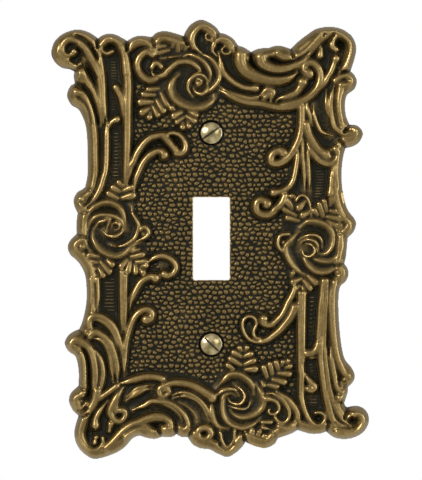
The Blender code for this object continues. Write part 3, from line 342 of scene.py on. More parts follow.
MIDDLE_LEFT = (
    ((1.05, 0.8), "tr", ((-24, 15), (-24, 17), (-23.3, 20), (-22.3, 22), (-21.4, 24), (-20.2, 26),
        (-19, 27.5), (-17.5, 28.7), (-16, 29.2), (-14, 29.5), (-12.9, 29.4))),
    ((0.5, 0.9), "rr", ((-13.4, 29.6), (-12.2, 29.9), (-10.7, 30.1), (-9, 29.4), (-7.8, 27.8), (-7.4, 26.2),
        (-7.8, 24.9), (-8.9, 24.3), (-10, 24.4))),
    (0.95, "rr", ((-13.3, 28.9), (-12, 27.5), (-10.9, 26.2), (-10, 25))),
    ((0.7, 0.95), "tb", ((-21.9, 13), (-21.9, 15), (-21.6, 17), (-20.7, 19.2), (-19.9, 21), (-18.8, 22.6),
        (-17.3, 24), (-15.6, 24.8), (-14.3, 24.7), (-13.6, 23.9))),
    (0.6, "tt", ((-22.9, 9.4), (-22.5, 7.3), (-21.7, 5.8), (-21, 4.5), (-20.8, 3.4), (-21.3, 1.5),
        (-21.8, 0.3), (-23.2, -0.9), (-25, -1.9), (-27, -2.2), (-28.5, -1.9))),
    (0.65, "rt", ((-20.1, 2.6), (-19.6, 3.2), (-18.7, 3.2), (-18.1, 2.4), (-17.9, 1.6), (-18.2, 1),
        (-19, 0.3), (-20.5, -0.4), (-22, -1.2))),
    (0.55, "rr", ((-37.2, -0.2), (-38.3, -0.9), (-39, -1.9), (-38.8, -3.2), (-37.8, -4), (-36.6, -4.2))),
    (0.75, "tb", ((-18.8, -7.4), (-18.1, -6.8), (-17, -5.9), (-15.5, -5.1), (-13.8, -4.9), (-12, -5.5),
        (-10.8, -6.5), (-10.2, -7.8), (-10.3, -9), (-11.1, -10), (-12.4, -10.5), (-13.5, -10.1))),
    (0.9, "tb", ((-23.2, -20), (-22.8, -17.4), (-21.75, -15.1), (-20.3, -12.6), (-18.8, -11.4),
        (-17.2, -10.9), (-16, -11.2))),
)

# Petal crests of the four roses, by rose: its centre, then outer and inner half width and points.
ROSES = (
    ((-3.8, 44.6), (
        (0.7, 0.6, ((-4.5, 44.2), (-4.3, 45), (-3.6, 45.3), (-3, 44.8), (-3.1, 44), (-3.8, 43.7))),
        (0.8, 0.9, ((-1, 44.6), (-2, 46), (-3.5, 46.6), (-5, 46), (-6.2, 44.8), (-6.6, 43), (-6.2, 41.8),
            (-5.2, 40.5))),
        (0.85, 0.8, ((-5.2, 43.5), (-4.5, 42), (-3, 41.4), (-1.8, 42), (-1.2, 43.5), (-1.4, 44.8))),
        (0.65, 1, ((-8, 51.8), (-6.5, 52.4), (-4.5, 51.8), (-2.5, 50.6), (-1.2, 49), (-0.4, 47), (-0.5, 45),
            (-1.2, 44.2))),
        (0.65, 1.1, ((-3.5, 52.8), (-1.5, 52), (0, 51), (1.2, 49.5), (2.1, 47.5), (2.1, 45.5), (1.2, 44),
            (0, 42.8), (-1.5, 41.8), (-3, 41.3))),
        (0.8, 1.6, ((-9.2, 46.8), (-10.8, 45.3), (-11.7, 43.2), (-11.3, 41), (-9.8, 39.3), (-7.5, 38),
            (-5, 37.3), (-2.5, 37.6), (-0.5, 38.6), (0.7, 40), (0.8, 41))),
    )),
    ((-27.4, 3.4), (
        (0.65, 0.5, ((-28.3, 3.2), (-28, 4.1), (-27.1, 4.4), (-26.4, 3.8), (-26.5, 2.9), (-27.3, 2.5))),
        (0.75, 0.8, ((-33.5, 2.5), (-32.2, 4.4), (-30.7, 4.9), (-29.2, 5.4), (-29.8, 3.2), (-30, 2))),
        (0.75, 1, ((-35.3, 2.5), (-34.5, 4.5), (-33.3, 5.9), (-31.8, 6.5), (-30.3, 6.6), (-28.5, 6.4),
            (-27, 5.9), (-26, 5), (-25.3, 3.7), (-25.1, 2.3))),
        (0.7, 1.1, ((-34.2, -3.6), (-35, -2.9), (-35.8, -1.6), (-36.3, 0), (-36.6, 2), (-35.9, 4.5),
            (-35, 7), (-34, 8.4), (-32.5, 9.5), (-30.7, 10.2), (-28.8, 10.2), (-27, 9.4), (-25.9, 8.3),
            (-25.2, 6.5), (-24.8, 4.5), (-24.6, 2.5))),
        (0.9, 0.6, ((-30.7, 2), (-29.6, 1.1), (-28, 0.85), (-26.6, 1.2), (-25.6, 2.1), (-25.2, 3.2))),
        (0.7, 1.3, ((-33.6, 2), (-33.8, 0.5), (-33.3, -0.9), (-32.5, -2.3), (-31.3, -3.4), (-29.5, -4.4),
            (-27.5, -4.9), (-25.8, -4.6), (-24.4, -3.8), (-23.3, -2.7), (-22.3, -1.8), (-21, -1),
            (-19.8, -0.4))),
    )),
    ((27.7, -2.8), (
        (0.55, 0.6, ((26, -3.4), (26.5, -4.6), (27.8, -5), (29, -4.2), (29.3, -3), (28.5, -1.9),
            (27, -1.5))),
        (0.5, 0.7, ((25.4, -1.7), (25.7, -1.1), (26.7, -0.5), (28, -0.4), (29.4, -0.9), (30.2, -2.1),
            (30.3, -3.6), (29.6, -4.6))),
        (0.55, 0.8, ((24.9, -0.6), (26, 0.3), (28, 0.9), (30, 0.7), (31.3, -0.6), (31.5, -2.6))),
        (0.65, 1.2, ((25.3, 3), (26.2, 4), (27.4, 4.8), (29, 5), (31, 4.6), (32.7, 3.8), (33.8, 2.7),
            (34.4, 1.5), (34.6, 0.2), (34.5, -1.2), (34, -2.8), (33, -4), (31.8, -4.4), (30.3, -4.2))),
        (0.7, 1.2, ((34.6, 4.2), (36, 2), (36.6, 0.5), (37, -1), (36.8, -3), (36, -4.8), (34.7, -6),
            (33, -6.4), (31, -6.2), (29, -5.6), (27.6, -5.2))),
        (0.75, 1.4, ((26, -3.6), (26.3, -5), (27.2, -6.8), (28.5, -8.3), (30, -9.2), (31.8, -9.5),
            (33.5, -9.2), (35, -8.3), (36.3, -7.2), (37.3, -6.2))),
        (0.65, 1.4, ((25, 2), (23.5, 0.6), (22.2, -0.9), (21.2, -2.2), (21.2, -3.6), (21.8, -5.3),
            (22.8, -7), (24, -8.5), (25.5, -9.7), (26.7, -10.2))),
    )),
    ((6.5, -45.5), (
        (0.7, 1.2, ((1.3, -42.9), (2.5, -41.5), (3.6, -40.3), (4.5, -39.3), (5.6, -38.7), (7, -38.6),
            (8.5, -38.9), (10, -39.9), (11.2, -41.2), (11.9, -42.8), (12, -44.5))),
        (0.8, 1.4, ((12.5, -41.4), (13.4, -42.7), (14.3, -44.5), (14.8, -46.4), (14.4, -48.2),
            (13.2, -49.4), (11.8, -50.2), (9.8, -50.8), (8, -50.8), (6.3, -50), (5.3, -48.8))),
        (0.7, 1.2, ((0.4, -46), (0.1, -47.5), (0.2, -49.5), (0.6, -51.3), (1.3, -52.8), (2.4, -53.7),
            (3.8, -54), (5, -54.2))),
        (0.8, 1, ((0.3, -46), (1.2, -45), (2.2, -44.2), (3.4, -43.4), (4.7, -43), (6, -43), (6.9, -43.4),
            (7.6, -44.2), (7.9, -45))),
        (0.7, 1.1, ((7, -44.8), (6.1, -44.2), (5, -44.2), (4.1, -44.6), (3.4, -45.5), (3.3, -46.5),
            (3.2, -48), (3.4, -49.8), (4.1, -51.4), (5.5, -52.7), (7.2, -53.5), (9, -53.8), (11, -53.3),
            (12.7, -52.3), (14, -51))),
        (0.55, 0.6, ((6.8, -41.9), (7.8, -42.5), (8.8, -43.5), (9.3, -44.8), (9, -46), (8.1, -46.9),
            (6.6, -46.9), (5.3, -46.4), (4.9, -45.6))),
        (0.55, 0.6, ((4.9, -47.6), (6.5, -48.1), (8, -48.3), (9.6, -48.4), (10.6, -47.6), (11, -46.5))),
    )),
)

# Leaves: the low blade that each one lies on, from root to tip with its half width, and then its
# lobes, each from its outer end to the leaf's middle, with its half width.
LEAVES = (
    (((-8.2, 53.2), (-14.6, 55.4), 2.4), ((-15.5, 56, -14.6, 56.1, 0.5), (-14.8, 57.2, -14, 56.3, 0.6),
        (-13.5, 57.4, -13.3, 56.5, 0.55), (-11.8, 57.4, -12, 56.1, 0.55), (-10.6, 56.9, -10.9, 54.9, 0.6),
        (-9.3, 56.3, -9.5, 53.6, 0.75), (-8, 55.8, -8.5, 54.4, 0.55), (-6.9, 55, -7.4, 54, 0.5),
        (-15.6, 54.5, -13.5, 55, 0.6), (-15.2, 53, -12.4, 53.7, 0.6))),
    (((-13.4, 43), (-18.6, 35), 3), ((-18, 42.5, -15.2, 42.8, 0.65), (-19.4, 41.2, -16.4, 41, 0.65),
        (-20.2, 38.9, -17, 39, 0.85), (-19.7, 36, -18, 37, 0.95), (-17.7, 34.7, -17.4, 35.8, 0.8),
        (-15.4, 35.4, -16.6, 37.6, 0.7), (-13.8, 36.6, -15.5, 39.4, 0.85),
        (-12.8, 38.3, -14.3, 41.4, 0.75))),
    (((-9.6, 37), (-6.2, 32.6), 2.2), ((-11.3, 37.2, -10.8, 36.7, 0.7), (-10.6, 35, -8.7, 36.1, 0.9),
        (-9.8, 33.3, -8.1, 34.5, 0.6), (-8.2, 31.8, -8.2, 32.9, 0.7), (-6.5, 32.1, -6.6, 33.2, 0.6),
        (-5, 33.7, -7, 34.9, 0.75), (-4.4, 35.2, -6.3, 36.3, 0.6))),
    (((-26.5, 11.8), (-25.4, 16.6), 2.8), ((-29.3, 12.9, -26.8, 11.5, 0.7), (-28, 14.5, -26.4, 13.5, 0.85),
        (-26.4, 16, -25.4, 15, 0.7), (-24.2, 16.6, -24.5, 15.3, 0.8), (-22.7, 14.5, -25, 13.7, 0.75),
        (-22.6, 12.3, -25.3, 11.6, 1))),
    (((-31.3, -5.4), (-33.4, -11.4), 2.1), ((-34.6, -4.7, -32.4, -5.1, 0.7),
        (-34.6, -6.5, -32.9, -6.8, 0.7), (-34.4, -8.3, -33.2, -8.6, 0.65), (-34, -10, -33.3, -10.1, 0.5),
        (-32.9, -11.4, -32.4, -10.4, 0.85), (-30.9, -10.4, -32, -8.6, 0.8),
        (-29.2, -9.4, -31.5, -6.8, 0.85), (-28.4, -7.4, -29.6, -6.3, 0.8))),
    (((-24, -4.8), (-20.6, -9), 2.6), ((-22.5, -3.4, -21, -3.2, 0.6), (-19.7, -4.6, -22.8, -5.2, 0.75),
        (-19, -6.5, -21.4, -6.7, 0.65), (-18.7, -7.7, -19.8, -7.9, 0.65), (-19.6, -9.5, -20.2, -8.8, 0.75),
        (-21.6, -9.6, -21.7, -7.7, 0.65), (-23.8, -9.2, -23.3, -6.8, 0.85),
        (-25.6, -7.9, -24.3, -6.2, 0.85))),
    (((28, 6), (22.4, 11.6), 2.8), ((22.9, 12.1, 23.6, 12, 0.6), (21.7, 10.5, 23, 8.6, 0.9),
        (21, 8.2, 24.1, 6.6, 0.6), (21.7, 6, 24.8, 5.1, 0.65), (25, 8.8, 26.5, 10.4, 0.9),
        (26.1, 6.7, 27.6, 7.4, 0.9))),
    (((31.4, 5), (35.4, 10.6), 2.8), ((29.4, 8, 30.2, 6.8, 0.6), (30.8, 9.8, 31.8, 6.4, 0.7),
        (32.1, 10.6, 32.8, 7.9, 0.7), (34.4, 11.3, 34, 9.7, 0.9), (36, 10, 35.3, 9.5, 0.65),
        (37.4, 7.1, 34.1, 7.9, 0.75), (36.6, 5.7, 33.2, 6.2, 0.85), (35.3, 4, 33.2, 5, 0.6))),
    (((27.2, -10.8), (25, -16.4), 2.2), ((23.1, -9.9, 22.9, -10.7, 0.55), (23.3, -12.4, 25.4, -11.5, 0.75),
        (23.8, -14.2, 25, -13.6, 0.6), (25.1, -16.7, 24.8, -15.7, 0.9), (26.7, -15.6, 26.1, -13.9, 0.6),
        (28.1, -14.1, 26.5, -12.1, 0.8), (29.7, -12.5, 27.8, -10.8, 0.9))),
    (((9, -38), (9.1, -31), 2.7), ((8, -31.2, 8.5, -31.9, 0.55), (10.1, -31.1, 9.8, -31.9, 0.55),
        (6.4, -32.5, 8.4, -33.7, 0.7), (5.5, -34.3, 8.3, -36, 0.75), (4.7, -36.1, 6.2, -37.2, 0.6),
        (11.2, -32.9, 9.4, -33.6, 0.7), (12, -34.8, 9.5, -35.9, 0.7), (12.4, -37.2, 9.9, -37.4, 0.85))),
    (((15.8, -41.2), (22, -35.4), 2.8), ((14.9, -36.7, 15.8, -39.5, 0.65), (16.7, -35.9, 17.3, -38.6, 0.7),
        (18.4, -35.4, 19, -37.2, 0.7), (20.3, -35.3, 20.1, -36, 0.65), (21.9, -34.9, 21.4, -35.5, 0.55),
        (22.4, -36.4, 21.4, -36.8, 0.65), (22.2, -38.6, 19.3, -38.4, 0.7), (20.7, -40.9, 17.6, -40.2, 0.8),
        (18.6, -42.2, 16.2, -41.8, 0.65), (15, -41.9, 14.4, -40.8, 0.45))),
    (((13.2, -53.4), (12.6, -58.2), 2.4), ((9.6, -55.6, 10.6, -56.9, 0.6), (11.7, -55, 11.3, -56.6, 0.75),
        (13.6, -55.2, 13.1, -57, 0.65), (15.1, -56.3, 14.7, -57.5, 0.65))),
)

# Carved lines between the ribs: half width, depth and points.
GROOVES = (
    (0.4, 1, ((11.3, 52.8), (11.6, 50.4), (13.3, 48.3), (16.1, 47), (19.2, 46.6), (22.3, 47.2),
        (25.2, 48.7))),
    (0.35, 0.9, ((16.5, 52.6), (17.3, 51), (19.2, 50.1), (21.7, 50.1), (24.2, 50.9), (26.8, 52.3),
        (28.8, 54))),
    (0.5, 0.9, ((-39.5, 58), (-36.5, 56.8), (-34.5, 55), (-33, 52.5), (-32.3, 50.5))),
    (0.55, 0.9, ((-39.3, 43.5), (-37, 43.2), (-35, 41.8), (-33.8, 39), (-32.8, 36), (-32, 32))),
    (0.5, 0.9, ((-36, 48.6), (-34, 47), (-32.8, 45))),
    (0.5, 0.7, ((-38.5, 54.5), (-36.8, 53))),
    (0.4, 0.7, ((-39.2, 40.5), (-37.6, 39.7), (-36.3, 38.7), (-35.3, 36.9), (-34.7, 35), (-34.5, 32))),
    (0.7, 1.1, ((-40.4, 51.3), (-39, 50.5), (-37.8, 49.8))),
    (0.45, 0.8, ((32.5, 58.5), (31.8, 57.5))),
    (0.45, 0.8, ((35.3, 59), (33.5, 56))),
    (0.5, 1.1, ((-37.3, -30.5), (-35.8, -32.5), (-35.1, -35), (-34.9, -39), (-34.9, -43.5),
        (-35.2, -45.8))),
    (0.55, 0.9, ((-38.5, -48.8), (-37.4, -49.5), (-36.2, -48.8), (-35.2, -47.9))),
    (0.4, 0.4, ((-27.5, -58.3), (-25.2, -56), (-23, -54.3), (-21, -53.5), (-19, -53.7), (-17.4, -54.4))),
    (0.5, 0.9, ((39.6, -50.8), (40.4, -51.8), (41, -52.8))),
    (0.3, 0.4, ((32.4, -12.5), (32.3, -18), (32.2, -24), (32, -29), (31.9, -33.5), (32.2, -37.5),
        (32.7, -42.2), (33.3, -46))),
    (0.5, 0.7, ((34.8, -52), (36, -53.2), (38, -53.7), (40, -53.9))),
    (0.5, 0.8, ((1.9, -58), (2.7, -59.3), (4.3, -60.4), (5.6, -59.6), (6.9, -58))),
    (0.5, 0.8, ((36, -39.5), (37.2, -40.9), (38.5, -40.9))),
    (0.4, 0.6, ((-37.6, 10.8), (-36, 9.3))),
    (0.25, 0.5, ((-33.2, -12), (-33.1, -16), (-33.3, -20.4))),
    (0.45, 1.1, ((-14.1, -58), (-14.5, -56.2), (-15.1, -54.4), (-16, -52.9))),
)

# Round hollows: x, z, radius and depth.
HOLLOWS = (
    (-38.9, 51, 1.4, 1.3), (-28.5, 54.8, 1, 1.2), (-9.7, 27.8, 1.1, 0.6), (-15, 23.4, 0.8, 0.5),
    (37, 55.4, 1.1, 1.2), (-34.6, -55.5, 1.2, 0.8), (-13.6, -52.8, 0.9, 0.7), (30.4, -51.2, 0.8, 0.7),
    (34.4, 24.3, 0.9, 0.6), (2.2, 55, 0.9, 0.4), (38.8, 31, 0.6, 0.5), (-3, 57.8, 1, 0.4),
)

# Low round swellings inside the small curls: x, z, radius and height.
SWELLINGS = (
    (10.9, -25.6, 2.4, 0.55), (36.6, 3.6, 2.2, 1.2), (36.2, -9.7, 1.8, 1.7), (-37, -2.3, 1.8, 1.7),
    (34.2, 24, 1.6, 1.2), (20.8, -1.2, 1.6, 1.2), (-19.4, 1.4, 1.4, 1.2), (-13.7, -43.4, 0.9, 1.8),
    (-36, 51.2, 1.8, 1), (-3.7, 44.1, 1.7, 1.7), (36.2, 48.8, 1.6, 1), (-37.3, -46.4, 1.4, 1.2),
    (-13.6, -7.7, 2.8, 0.62),
)

# Hatched channels: left, right, bottom and top of each, and the pitch of its bars.
CHANNELS = (
    (-28.8, -25.6, 15, 31.5, 1),
    (-29.4, -26.4, 35, 52, 0.8),
    (-31.4, -26.8, -21.5, -9.5, 0.97),
    (28.8, 33.2, 9.5, 21.5, 0.8),
    (27.1, 30.2, -30.5, -14.5, 1.2),
    (27, 31, -49, -34.2, 0.9),
)
BAR_HEIGHT = 0.6

# The panel's leather-like grain: its cells' pitch, the half size of the field that they fill, how far
# each may stray, how deep the grooves between them are, and the seed of the random numbers.
GRAIN_PITCH = (1.66, 1.4)
GRAIN_HALF = (31, 49)
GRAIN_JITTER = (0.62, 0.5)
GRAIN_HEIGHT = 0.5
GRAIN_SEED = 11

# Shapes of the relief's parts. A rib's half width is spread and given a base, and its crest stands
# over the ground by a low value and a share of that width. A petal's crest falls with its distance
# from the rose's centre. A leaf's lobe narrows from its outer end to its root.
RIB_BASE = 0.4
RIB_SPREAD = 1.08
RIB_LOW = 1.2
RIB_RISE = 0.68
CREST_ROUND = 0.62
FLANK = 0.9
FLANK_REACH = 1.25
PETAL_TOP = 3.1
PETAL_FALL = 0.17
PETAL_BASE = 0.5
PETAL_SHADE = 2.2
LEAF_HEIGHT = 0.4
LOBE_BASE = 0.48
LOBE_TAPER = 0.6
NOTCH_HALF = 0.42
NOTCH_DEPTH = 1.2
ROOF_REACH = 3.2
NEAR_REACH = 3.5
PATH_STEP = 0.35
OUTLINE_STEP = 0.5
CREASE_BLUR = 0.16
SLOT_EASE = 0.25
# How much an end widens or narrows a rib, and over how long a stretch.
END_SCALE = {"b": 1.45, "r": 1.0, "t": 0.3}
END_REACH = {"b": 1.1, "r": 1.0, "t": 2.6}

# Meshing: how near a cut edge of the front may come to the grid's places, as a share of a step, the
# pitch of the back's points, the least distance between any two, and the sides of round parts.
LEAST_SHARE = 0.12
BACK_PITCH = 2.5
BACK_SPACING = 0.42
BOSS_SIDES = 48
SCREW_SIDES = 72
PLATE_SHARP = math.radians(62)
SCREW_SHARP = math.radians(30)

# How bright the patina is rubbed on the casting's outer places, from 0 to 1. Less than 0 is darker
# than the patina of the recesses, a painted shade in the countersinks round the screw heads.
RUB_AND_SHADE_IN_SINK = -0.5
RUB_ROUND_SLOT = 0.85
RUB_AT_EDGE = 0.7
RUB_ON_SIDES = 0.45
RUB_ON_BACK = 0.25
# Recesses are the places that a level disc of this radius, laid on the relief, can't reach down to.
RECESS_REACH = 1.8
OUTSIDE_LEVEL = -5

# Colours, and the lights: name, place, size, power and colour.
BRASS = (0.31, 0.207, 0.076, 1)
# Pale brass of the crests: partly their polish, partly a painted highlight line.
CREST_BRASS_AND_HIGHLIGHT = (0.44, 0.31, 0.13, 1)
PATINA = (0.0085, 0.0077, 0.0027, 1)
# Patina in the countersinks, made darker as painted shade round the screw heads.
SINK_PATINA_AND_SHADE = (0.0012, 0.0008, 0.0004, 1)
SCREW_BRASS = (0.66, 0.53, 0.29, 1)
# Tarnish patches on the screws, which also stand in as painted dark reflections on the heads.
SCREW_TARNISH_AND_REFLECTION = (0.26, 0.21, 0.09, 1)
# Old patina in the driver slot and under the head, darkened further as painted shade.
SCREW_DIRT_AND_SHADE = (0.02, 0.015, 0.005, 1)
ROOM_BEHIND = (0.74, 0.75, 0.74, 1)
ROOM_AHEAD = (0.36, 0.36, 0.35, 1)
FLOOR_PAINT = (0.85, 0.85, 0.84, 1)
LIGHTS = (
    ("key", (-0.66, -0.8, 0.38), (0.3, 0.3), 6, (1, 1, 1)),
    ("fill", (0.6, -0.95, 0.28), (0.45, 0.45), 1.4, (1, 1, 1)),
    ("side", (0.9, -0.25, 0.1), (0.3, 0.9), 3.3, (0.86, 0.93, 1)),
)

# The camera: its distance, what height it sees at the panel, and what it aims at.
CAMERA_DISTANCE = 0.7
HEIGHT_SEEN = 0.137
AIM = (-0.00011, -0.00039)
FLOOR_HALF = 0.3
FLOOR_LEVEL = -0.105

AXIS_X = np.arange(-46.8, 46.3, STEP)
AXIS_Z = np.arange(-64, 63.7, STEP)
GRID_X, GRID_Z = np.meshgrid(AXIS_X, AXIS_Z)


def smooth_path(points, step, closed=False):
    """Points about one step apart on a Catmull-Rom curve through the given ones."""
    given = np.array(points, float)
    if closed:
        padded = np.vstack((given[-1:], given, given[:2]))
    else:
        padded = np.vstack((2 * given[0] - given[1], given, 2 * given[-1] - given[-2]))
    made = []
    for p0, p1, p2, p3 in zip(padded, padded[1:], padded[2:], padded[3:]):
        count = max(1, round(np.linalg.norm(p2 - p1) / step))
        for t in np.arange(count) / count:
            made.append(
                0.5 * (2 * p1 + (p2 - p0) * t + (2 * p0 - 5 * p1 + 4 * p2 - p3) * t ** 2
                       + (3 * p1 - p0 - 3 * p2 + p3) * t ** 3)
            )
    made.append(made[0] if closed else given[-1])
    return np.array(made)


def outline_path():
    """The closed outline, each scallop smooth and each notch sharp."""
    loop = []
    for row, following in zip(SCALLOPS, SCALLOPS[1:] + SCALLOPS[:1]):
        loop.extend(smooth_path(row + following[:1], OUTLINE_STEP)[:-1])
    return np.array(loop + loop[:1])


def window(low, high):
    """The part of the grid that holds a box."""
    columns = np.searchsorted(AXIS_X, (low[0], high[0])) + (0, 1)
    rows = np.searchsorted(AXIS_Z, (low[1], high[1])) + (0, 1)
    return slice(*rows), slice(*columns)


def near(path, reach):
    """The grid's places near a path: their window, distance to it, share of it passed, and side."""
    part = window(path.min(axis=0) - reach, path.max(axis=0) + reach)
    x, z = GRID_X[part], GRID_Z[part]
    best = np.full(x.shape, np.inf)
    passed = np.zeros(x.shape)
    side = np.zeros(x.shape)
    for index, (start, end) in enumerate(zip(path, path[1:])):
        along = end - start
        across_x, across_z = x - start[0], z - start[1]
        t = np.clip((across_x * along[0] + across_z * along[1]) / (along @ along + 1e-12), 0, 1)
        off_x, off_z = across_x - t * along[0], across_z - t * along[1]
        distance = off_x ** 2 + off_z ** 2
        closer = distance < best
        best[closer] = distance[closer]
        passed[closer] = (index + t)[closer]
        side[closer] = (along[0] * off_z - along[1] * off_x)[closer]
    return part, np.sqrt(best), passed / (len(path) - 1), side


def edge_distance(path, most):
    """Distance to the outline, no more than the given one, all over the grid."""
    found = np.full(GRID_X.shape, float(most))
    for start in range(0, len(path) - 1, 12):
        part, distance, _, _ = near(path[start:start + 13], most)
        found[part] = np.minimum(found[part], distance)
    return found


def inside(path):
    """Which places of the grid lie inside a closed path, row by row."""
    found = np.zeros(GRID_X.shape, bool)
    for (x1, z1), (x2, z2) in zip(path, path[1:]):
        if z1 == z2:
            continue
        rows = np.nonzero((AXIS_Z > min(z1, z2)) & (AXIS_Z <= max(z1, z2)))[0]
        for row in rows:
            found[row] ^= AXIS_X < x1 + (AXIS_Z[row] - z1) * (x2 - x1) / (z2 - z1)
    return found


def ease(x):
    """0 up to 0, 1 from 1 on, and a smooth step between."""
    x = np.clip(x, 0, 1)
    return x * x * (3 - 2 * x)


def soft_max(a, b, blend):
    """The higher of two heights, with the crease between them filled in."""
    return np.maximum(a, b) + np.maximum(blend - abs(a - b), 0) ** 2 / (4 * blend)


def blur(field, sigma):
    """A Gaussian blur, sigma in millimetres."""
    reach = int(math.ceil(3 * sigma / STEP))
    weights = np.exp(-0.5 * (np.arange(-reach, reach + 1) * STEP / sigma) ** 2)
    weights /= weights.sum()
    for axis in (0, 1):
        padded = np.pad(field, [(reach, reach) if a == axis else (0, 0) for a in (0, 1)], "edge")
        count = field.shape[axis]
        field = sum(w * np.take(padded, np.arange(k, k + count), axis=axis)
                    for k, w in enumerate(weights))
    return field


def widths_along(half, ends, passed, length):
    """A rib's half width at each share of its length, with its ends shaped."""
    first, last = half if isinstance(half, tuple) else (half, half)
    width = first + (last - first) * passed
    for end, distance in ((ends[0], passed * length), (ends[1], (1 - passed) * length)):
        reach = min(END_REACH[end], 0.4 * length)
        width = width * (1 + (END_SCALE[end] - 1) * np.exp(-(distance / reach) ** 2))
    return width


class Relief:
    """The plate's face as heights on the grid."""

    def __init__(self):
        self.outline = outline_path()
        self.edge = edge_distance(self.outline, 8)
        self.inside = inside(self.outline)
        panel_path = smooth_path(PANEL_EDGE, 1, closed=True)
        to_panel = edge_distance(panel_path, 4)
        self.panel = np.where(inside(panel_path), ease(to_panel / 0.9), 0)
        self.ground = GROUND + (PANEL - GROUND) * self.panel
        rise = np.clip(self.edge / RIM_ROUND, 0, 1)
        self.rim = LIP + (RIM - LIP) * (1 - (1 - rise) ** 2) ** CREST_ROUND
        fall = ease((self.edge - RIM_ROUND) / RIM_FALL)
        self.height = self.rim + (self.ground - RIM) * fall
        self.to_crest = np.full(GRID_X.shape, 9.0)
        self.sunk = np.zeros(GRID_X.shape)
        self.lobes = np.zeros_like(GRID_X)
        self.shade = np.zeros(GRID_X.shape)

    def ceiling(self, part):
        """Ribs near the outline stay under a roof that follows the rim's rounding."""
        return self.rim[part] + 0.25 + 1.7 * ease(self.edge[part] / ROOF_REACH)

    def note_crest(self, part, distance):
        """Keep the distance to the nearest crest, which the flanks are made from."""
        self.to_crest[part] = np.minimum(self.to_crest[part], distance)

    def fill(self):
        """Hollow flanks that run from the crests of the border down to the valleys between them."""
        rise = FLANK * (1 - self.panel) * (1 - self.sunk)
        flank = self.ground + rise * np.exp(-self.to_crest / FLANK_REACH)
        roof = self.rim + 0.2 + 1.2 * ease(self.edge / ROOF_REACH)
        self.height = soft_max(self.height, np.minimum(flank, roof), 0.3)

    def add(self, part, level, blend=0.25):
        self.height[part] = soft_max(self.height[part], level, blend)

    def rib(self, half, ends, points):
        """A round-topped rib along a curve: its half width, both ends' kinds and its points."""
        path = smooth_path(points, PATH_STEP)
        length = np.linalg.norm(np.diff(path, axis=0), axis=1).sum()
        part, distance, passed, _ = near(path, NEAR_REACH)
        self.note_crest(part, distance)
        width = widths_along(half, ends, passed, length)
        width = RIB_SPREAD * width + RIB_BASE * np.clip((width - 0.2) / 0.55, 0, 1)
        top = RIB_LOW + RIB_RISE * width
        level = self.ground[part] + top * (1 - np.clip(distance / width, 0, 1) ** 2) ** CREST_ROUND
        level = np.minimum(level, self.ceiling(part))
        self.add(part, np.where(distance < width, level, 0), 0.12)

    def petal(self, centre, outer, inner, points):
        """A crest with a steep side away from the rose's centre and a hollow slope towards it."""
        path = smooth_path(points, PATH_STEP)
        length = np.linalg.norm(np.diff(path, axis=0), axis=1).sum()
        part, distance, passed, side = near(path, NEAR_REACH)
        self.note_crest(part, distance)

        # The side of the crest that faces the rose's centre.
        middle = path[len(path) // 2]
        step = path[min(len(path) // 2 + 1, len(path) - 1)] - middle
        to_centre = np.array(centre) - middle
        inward = side * (step[0] * to_centre[1] - step[1] * to_centre[0]) > 0

        shrink = widths_along(1.0, "tt", passed, length) ** 0.7
        width = np.where(inward, 1.7 * inner + PETAL_BASE, 1.1 * outer + PETAL_BASE) * shrink
        reach = math.hypot(*to_centre)
        top = PETAL_TOP - PETAL_FALL * reach
        away = np.clip(distance / width, 0, 1)
        shape = np.where(inward, (1 - away) ** 1.25, (1 - away ** 2) ** 0.6)
        level = self.ground[part] + top * shrink * shape
        level = np.minimum(level, self.ceiling(part) + 0.5)
        level = np.where(distance < width, level, 0)
        above = level > self.height[part]
        # The inner slope is marked for darkening: patina and painted shade inside the rose.
        shade = inward * ease((distance / np.minimum(width, PETAL_SHADE) - 0.14) / 0.28)
        self.shade[part] = np.where(above, shade, self.shade[part])
        self.add(part, level, 0.2)

    def mound(self, start, end, width, height):
        """A low soft swelling about a line."""
        path = np.array((start, end), float)
        part, distance, _, _ = near(path, width)
        bulge = (1 - np.clip(distance / width, 0, 1) ** 2) ** 1.2
        self.add(part, self.ground[part] + height * bulge)

    def leaf(self, blade, lobes):
        """A low blade that carries plump lobes, each widest near its outer end."""
        self.mound(*blade, LEAF_HEIGHT)
        spots = np.array(lobes)[:, :4].reshape(-1, 2)
        part = window(spots.min(axis=0) - 1.5, spots.max(axis=0) + 1.5)
        x, z = GRID_X[part], GRID_Z[part]

        # How far outside the nearest lobe and the next one each place lies, less than 0 inside them.
        first, second = np.full(x.shape, 9.0), np.full(x.shape, 9.0)
        passed, half = np.zeros(x.shape), np.ones(x.shape)
        for tip_x, tip_z, root_x, root_z, widest in lobes:
            over, up = root_x - tip_x, root_z - tip_z
            along = np.clip(((x - tip_x) * over + (z - tip_z) * up) / (over ** 2 + up ** 2), 0, 1)
            width = widest * (1 - LOBE_TAPER * along ** 1.5) + LOBE_BASE
            outside = np.hypot(x - tip_x - along * over, z - tip_z - along * up) - width
            closer = outside < first
            second = np.where(closer, first, np.minimum(second, outside))
            passed, half = np.where(closer, along, passed), np.where(closer, width, half)
            first = np.where(closer, outside, first)

        # A narrow furrow where two lobes meet, and plump tops between the furrows.
        gap = ease((second - first - 0.03) / 0.32)
        inland = ease((self.edge[part] - 0.3) / 1.3)
        top = (0.8 + 0.55 * half - 0.2 * passed) * inland * (0.3 + 0.7 * gap)
        level = self.ground[part] + top * (1 - np.clip(1 + first / half, 0, 1) ** 3) ** 0.7
        level = np.minimum(level, self.rim[part] + 0.2 + 1.6 * ease(self.edge[part] / 3))
        self.note_crest(part, np.maximum(first + half, 0) + 0.4)
        self.add(part, np.where(first < 0, level, 0), 0.05)
        lobe = gap * ease(-first / 0.28) * (1 - 0.3 * passed ** 2)
        self.lobes[part] = np.maximum(self.lobes[part], lobe)

